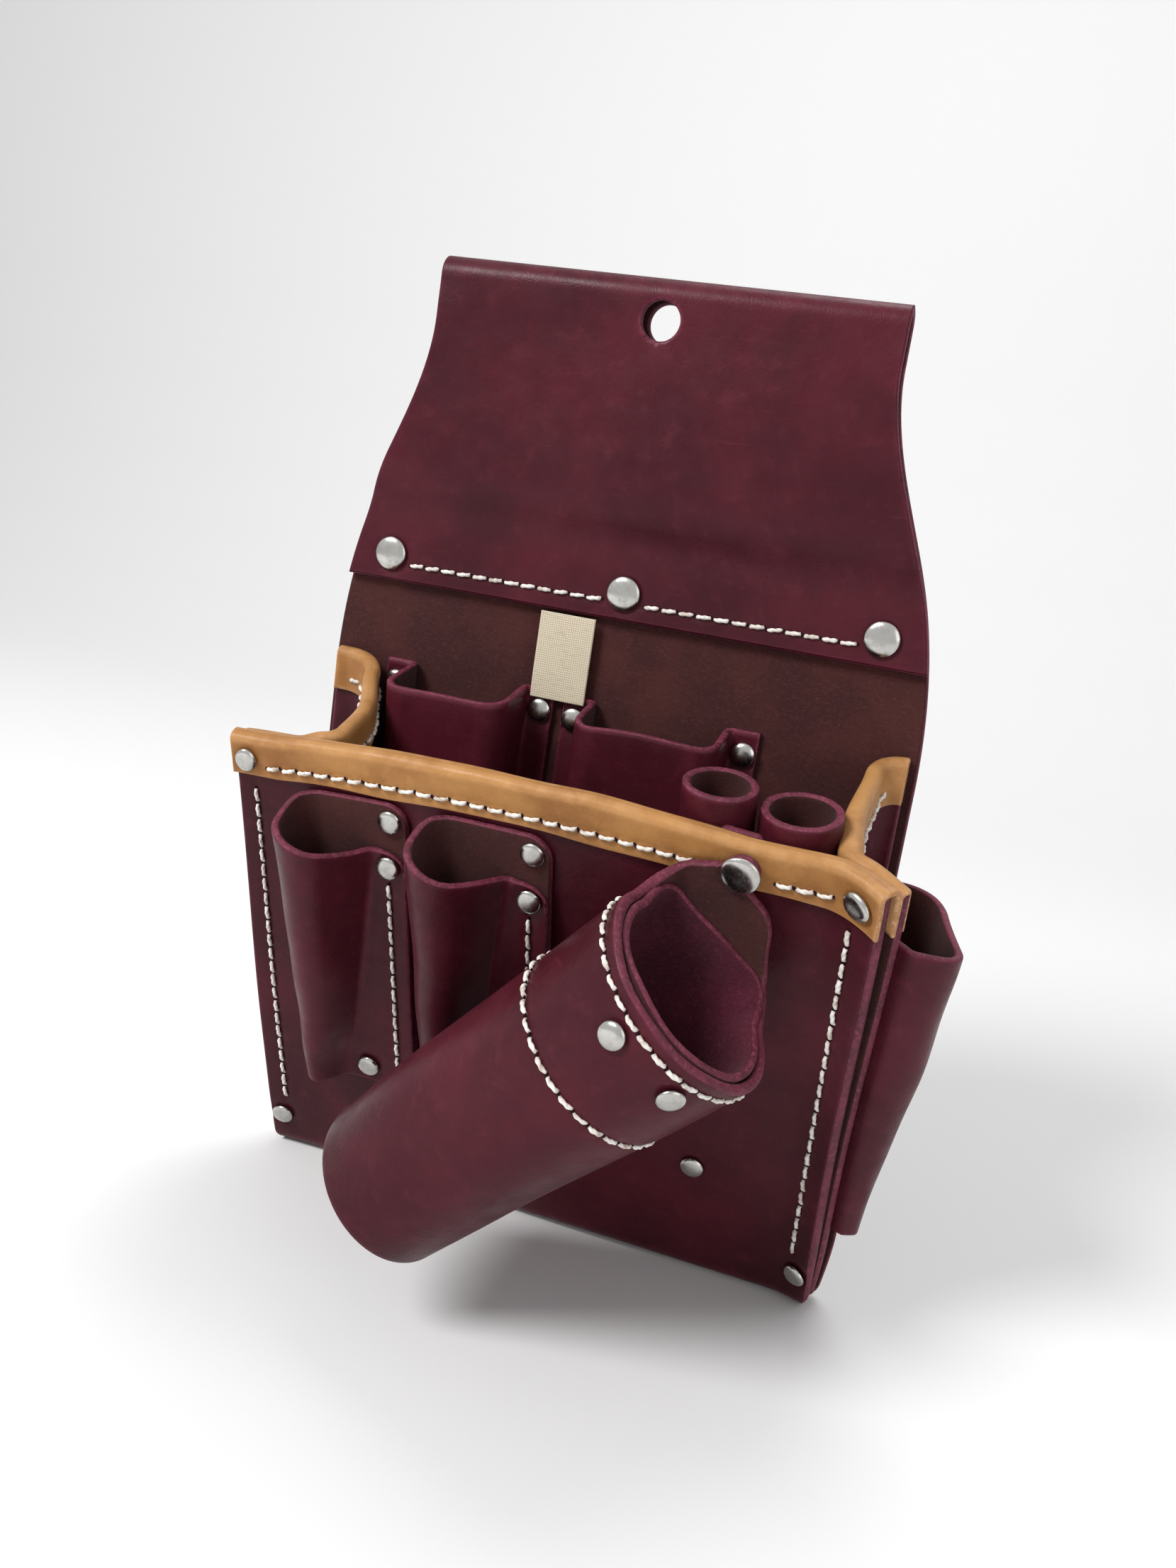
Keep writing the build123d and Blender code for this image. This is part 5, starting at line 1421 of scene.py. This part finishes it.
# ---- studio --------------------------------------------------------------------------------------
def sweep_floor():
    """Paper sweep: floor, a round bend and a wall, well behind the pouch."""
    path = Path((-2500, FLOOR_Z - 0.6), 0, [(3300,), (500, 90), (2200,)])
    lengths = rows(0, path.length, 120, (), 120, 1.0, 60)
    grid = cross_sheet(np.linspace(-3200, 3200, 33), path.at(path.stations(lengths)))
    piece = Piece("studio_sweep", [backdrop()])
    rank = np.arange(grid.shape[0] * grid.shape[1]).reshape(grid.shape[:2])
    quads = np.stack([rank[:-1, :-1], rank[1:, :-1], rank[1:, 1:], rank[:-1, 1:]], -1)
    piece.add(grid, quads, 0)
    piece.make()


# metres, and watts
LIGHT_AIM = (0.0, -0.03, -0.16)
LIGHTS = {"key": ((-0.75, -1.05, 0.95), 0.6, 25), "fill": ((1.2, -0.9, 0.25), 1.1, 4),
          "top": ((0.1, 0.5, 1.2), 0.8, 7)}
ROOM_LIGHT, ROOM_SEEN = 0.42, 0.80


def soft_light(name, place, size, power):
    light = bpy.data.lights.new(name, "AREA")
    light.shape, light.size, light.energy = "DISK", size, power
    lamp = bpy.data.objects.new(name, light)
    bpy.context.scene.collection.objects.link(lamp)
    lamp.location = Vector(place)
    lamp.rotation_mode = "QUATERNION"
    lamp.rotation_quaternion = (Vector(LIGHT_AIM) - Vector(place)).to_track_quat("-Z", "Y")


def studio_world():
    """Even light, which the camera and reflections see as a paler room."""
    world = bpy.data.worlds.new("studio_world")
    bpy.context.scene.world = world
    world.use_nodes = True
    tree = world.node_tree
    rays = tree.nodes.new("ShaderNodeLightPath").outputs
    seen = rays["Is Camera Ray"]
    for kind in ("Is Glossy Ray", "Is Transmission Ray"):
        either = tree.nodes.new("ShaderNodeMath")
        either.operation = "MAXIMUM"
        tree.links.new(seen, either.inputs[0])
        tree.links.new(rays[kind], either.inputs[1])
        seen = either.outputs[0]
    level = tree.nodes.new("ShaderNodeMapRange")
    level.inputs["To Min"].default_value = ROOM_LIGHT
    level.inputs["To Max"].default_value = ROOM_SEEN
    tree.links.new(seen, level.inputs["Value"])
    background = tree.nodes["Background"]
    background.inputs["Color"].default_value = (1.0, 1.0, 1.0, 1.0)
    tree.links.new(level.outputs["Result"], background.inputs["Strength"])


def studio():
    sweep_floor()
    studio_world()
    for name, (place, size, power) in LIGHTS.items():
        soft_light(name, place, size, power)
    bpy.context.scene.view_settings.view_transform = "Standard"


# ---- camera --------------------------------------------------------------------------------------
# fitted to the corners and rivets of the pouch as the photograph shows them
CAMERA_PLACE = (120.6, -424.3, -48.5)
CAMERA_TURN, CAMERA_TILT, CAMERA_ROLL = radians(16.4), radians(12.9), radians(-8.6)


def camera():
    data = bpy.data.cameras.new("photo_camera")
    data.sensor_width, data.lens = 36.0, 30.69
    data.clip_start, data.clip_end = 0.01, 20.0
    lens = bpy.data.objects.new("photo_camera", data)
    bpy.context.scene.collection.objects.link(lens)
    forward = Vector((-sin(CAMERA_TURN) * cos(CAMERA_TILT), cos(CAMERA_TURN) * cos(CAMERA_TILT),
                      -sin(CAMERA_TILT)))
    right = Vector((cos(CAMERA_TURN), sin(CAMERA_TURN), 0.0))
    down = forward.cross(right)
    rolled = right * cos(CAMERA_ROLL) + down * sin(CAMERA_ROLL)
    down = down * cos(CAMERA_ROLL) - right * sin(CAMERA_ROLL)
    turn = Matrix((rolled, -down, -forward)).transposed()
    lens.matrix_world = Matrix.Translation(Vector(CAMERA_PLACE) * MM) @ turn.to_4x4()
    bpy.context.scene.camera = lens


studio()
camera()
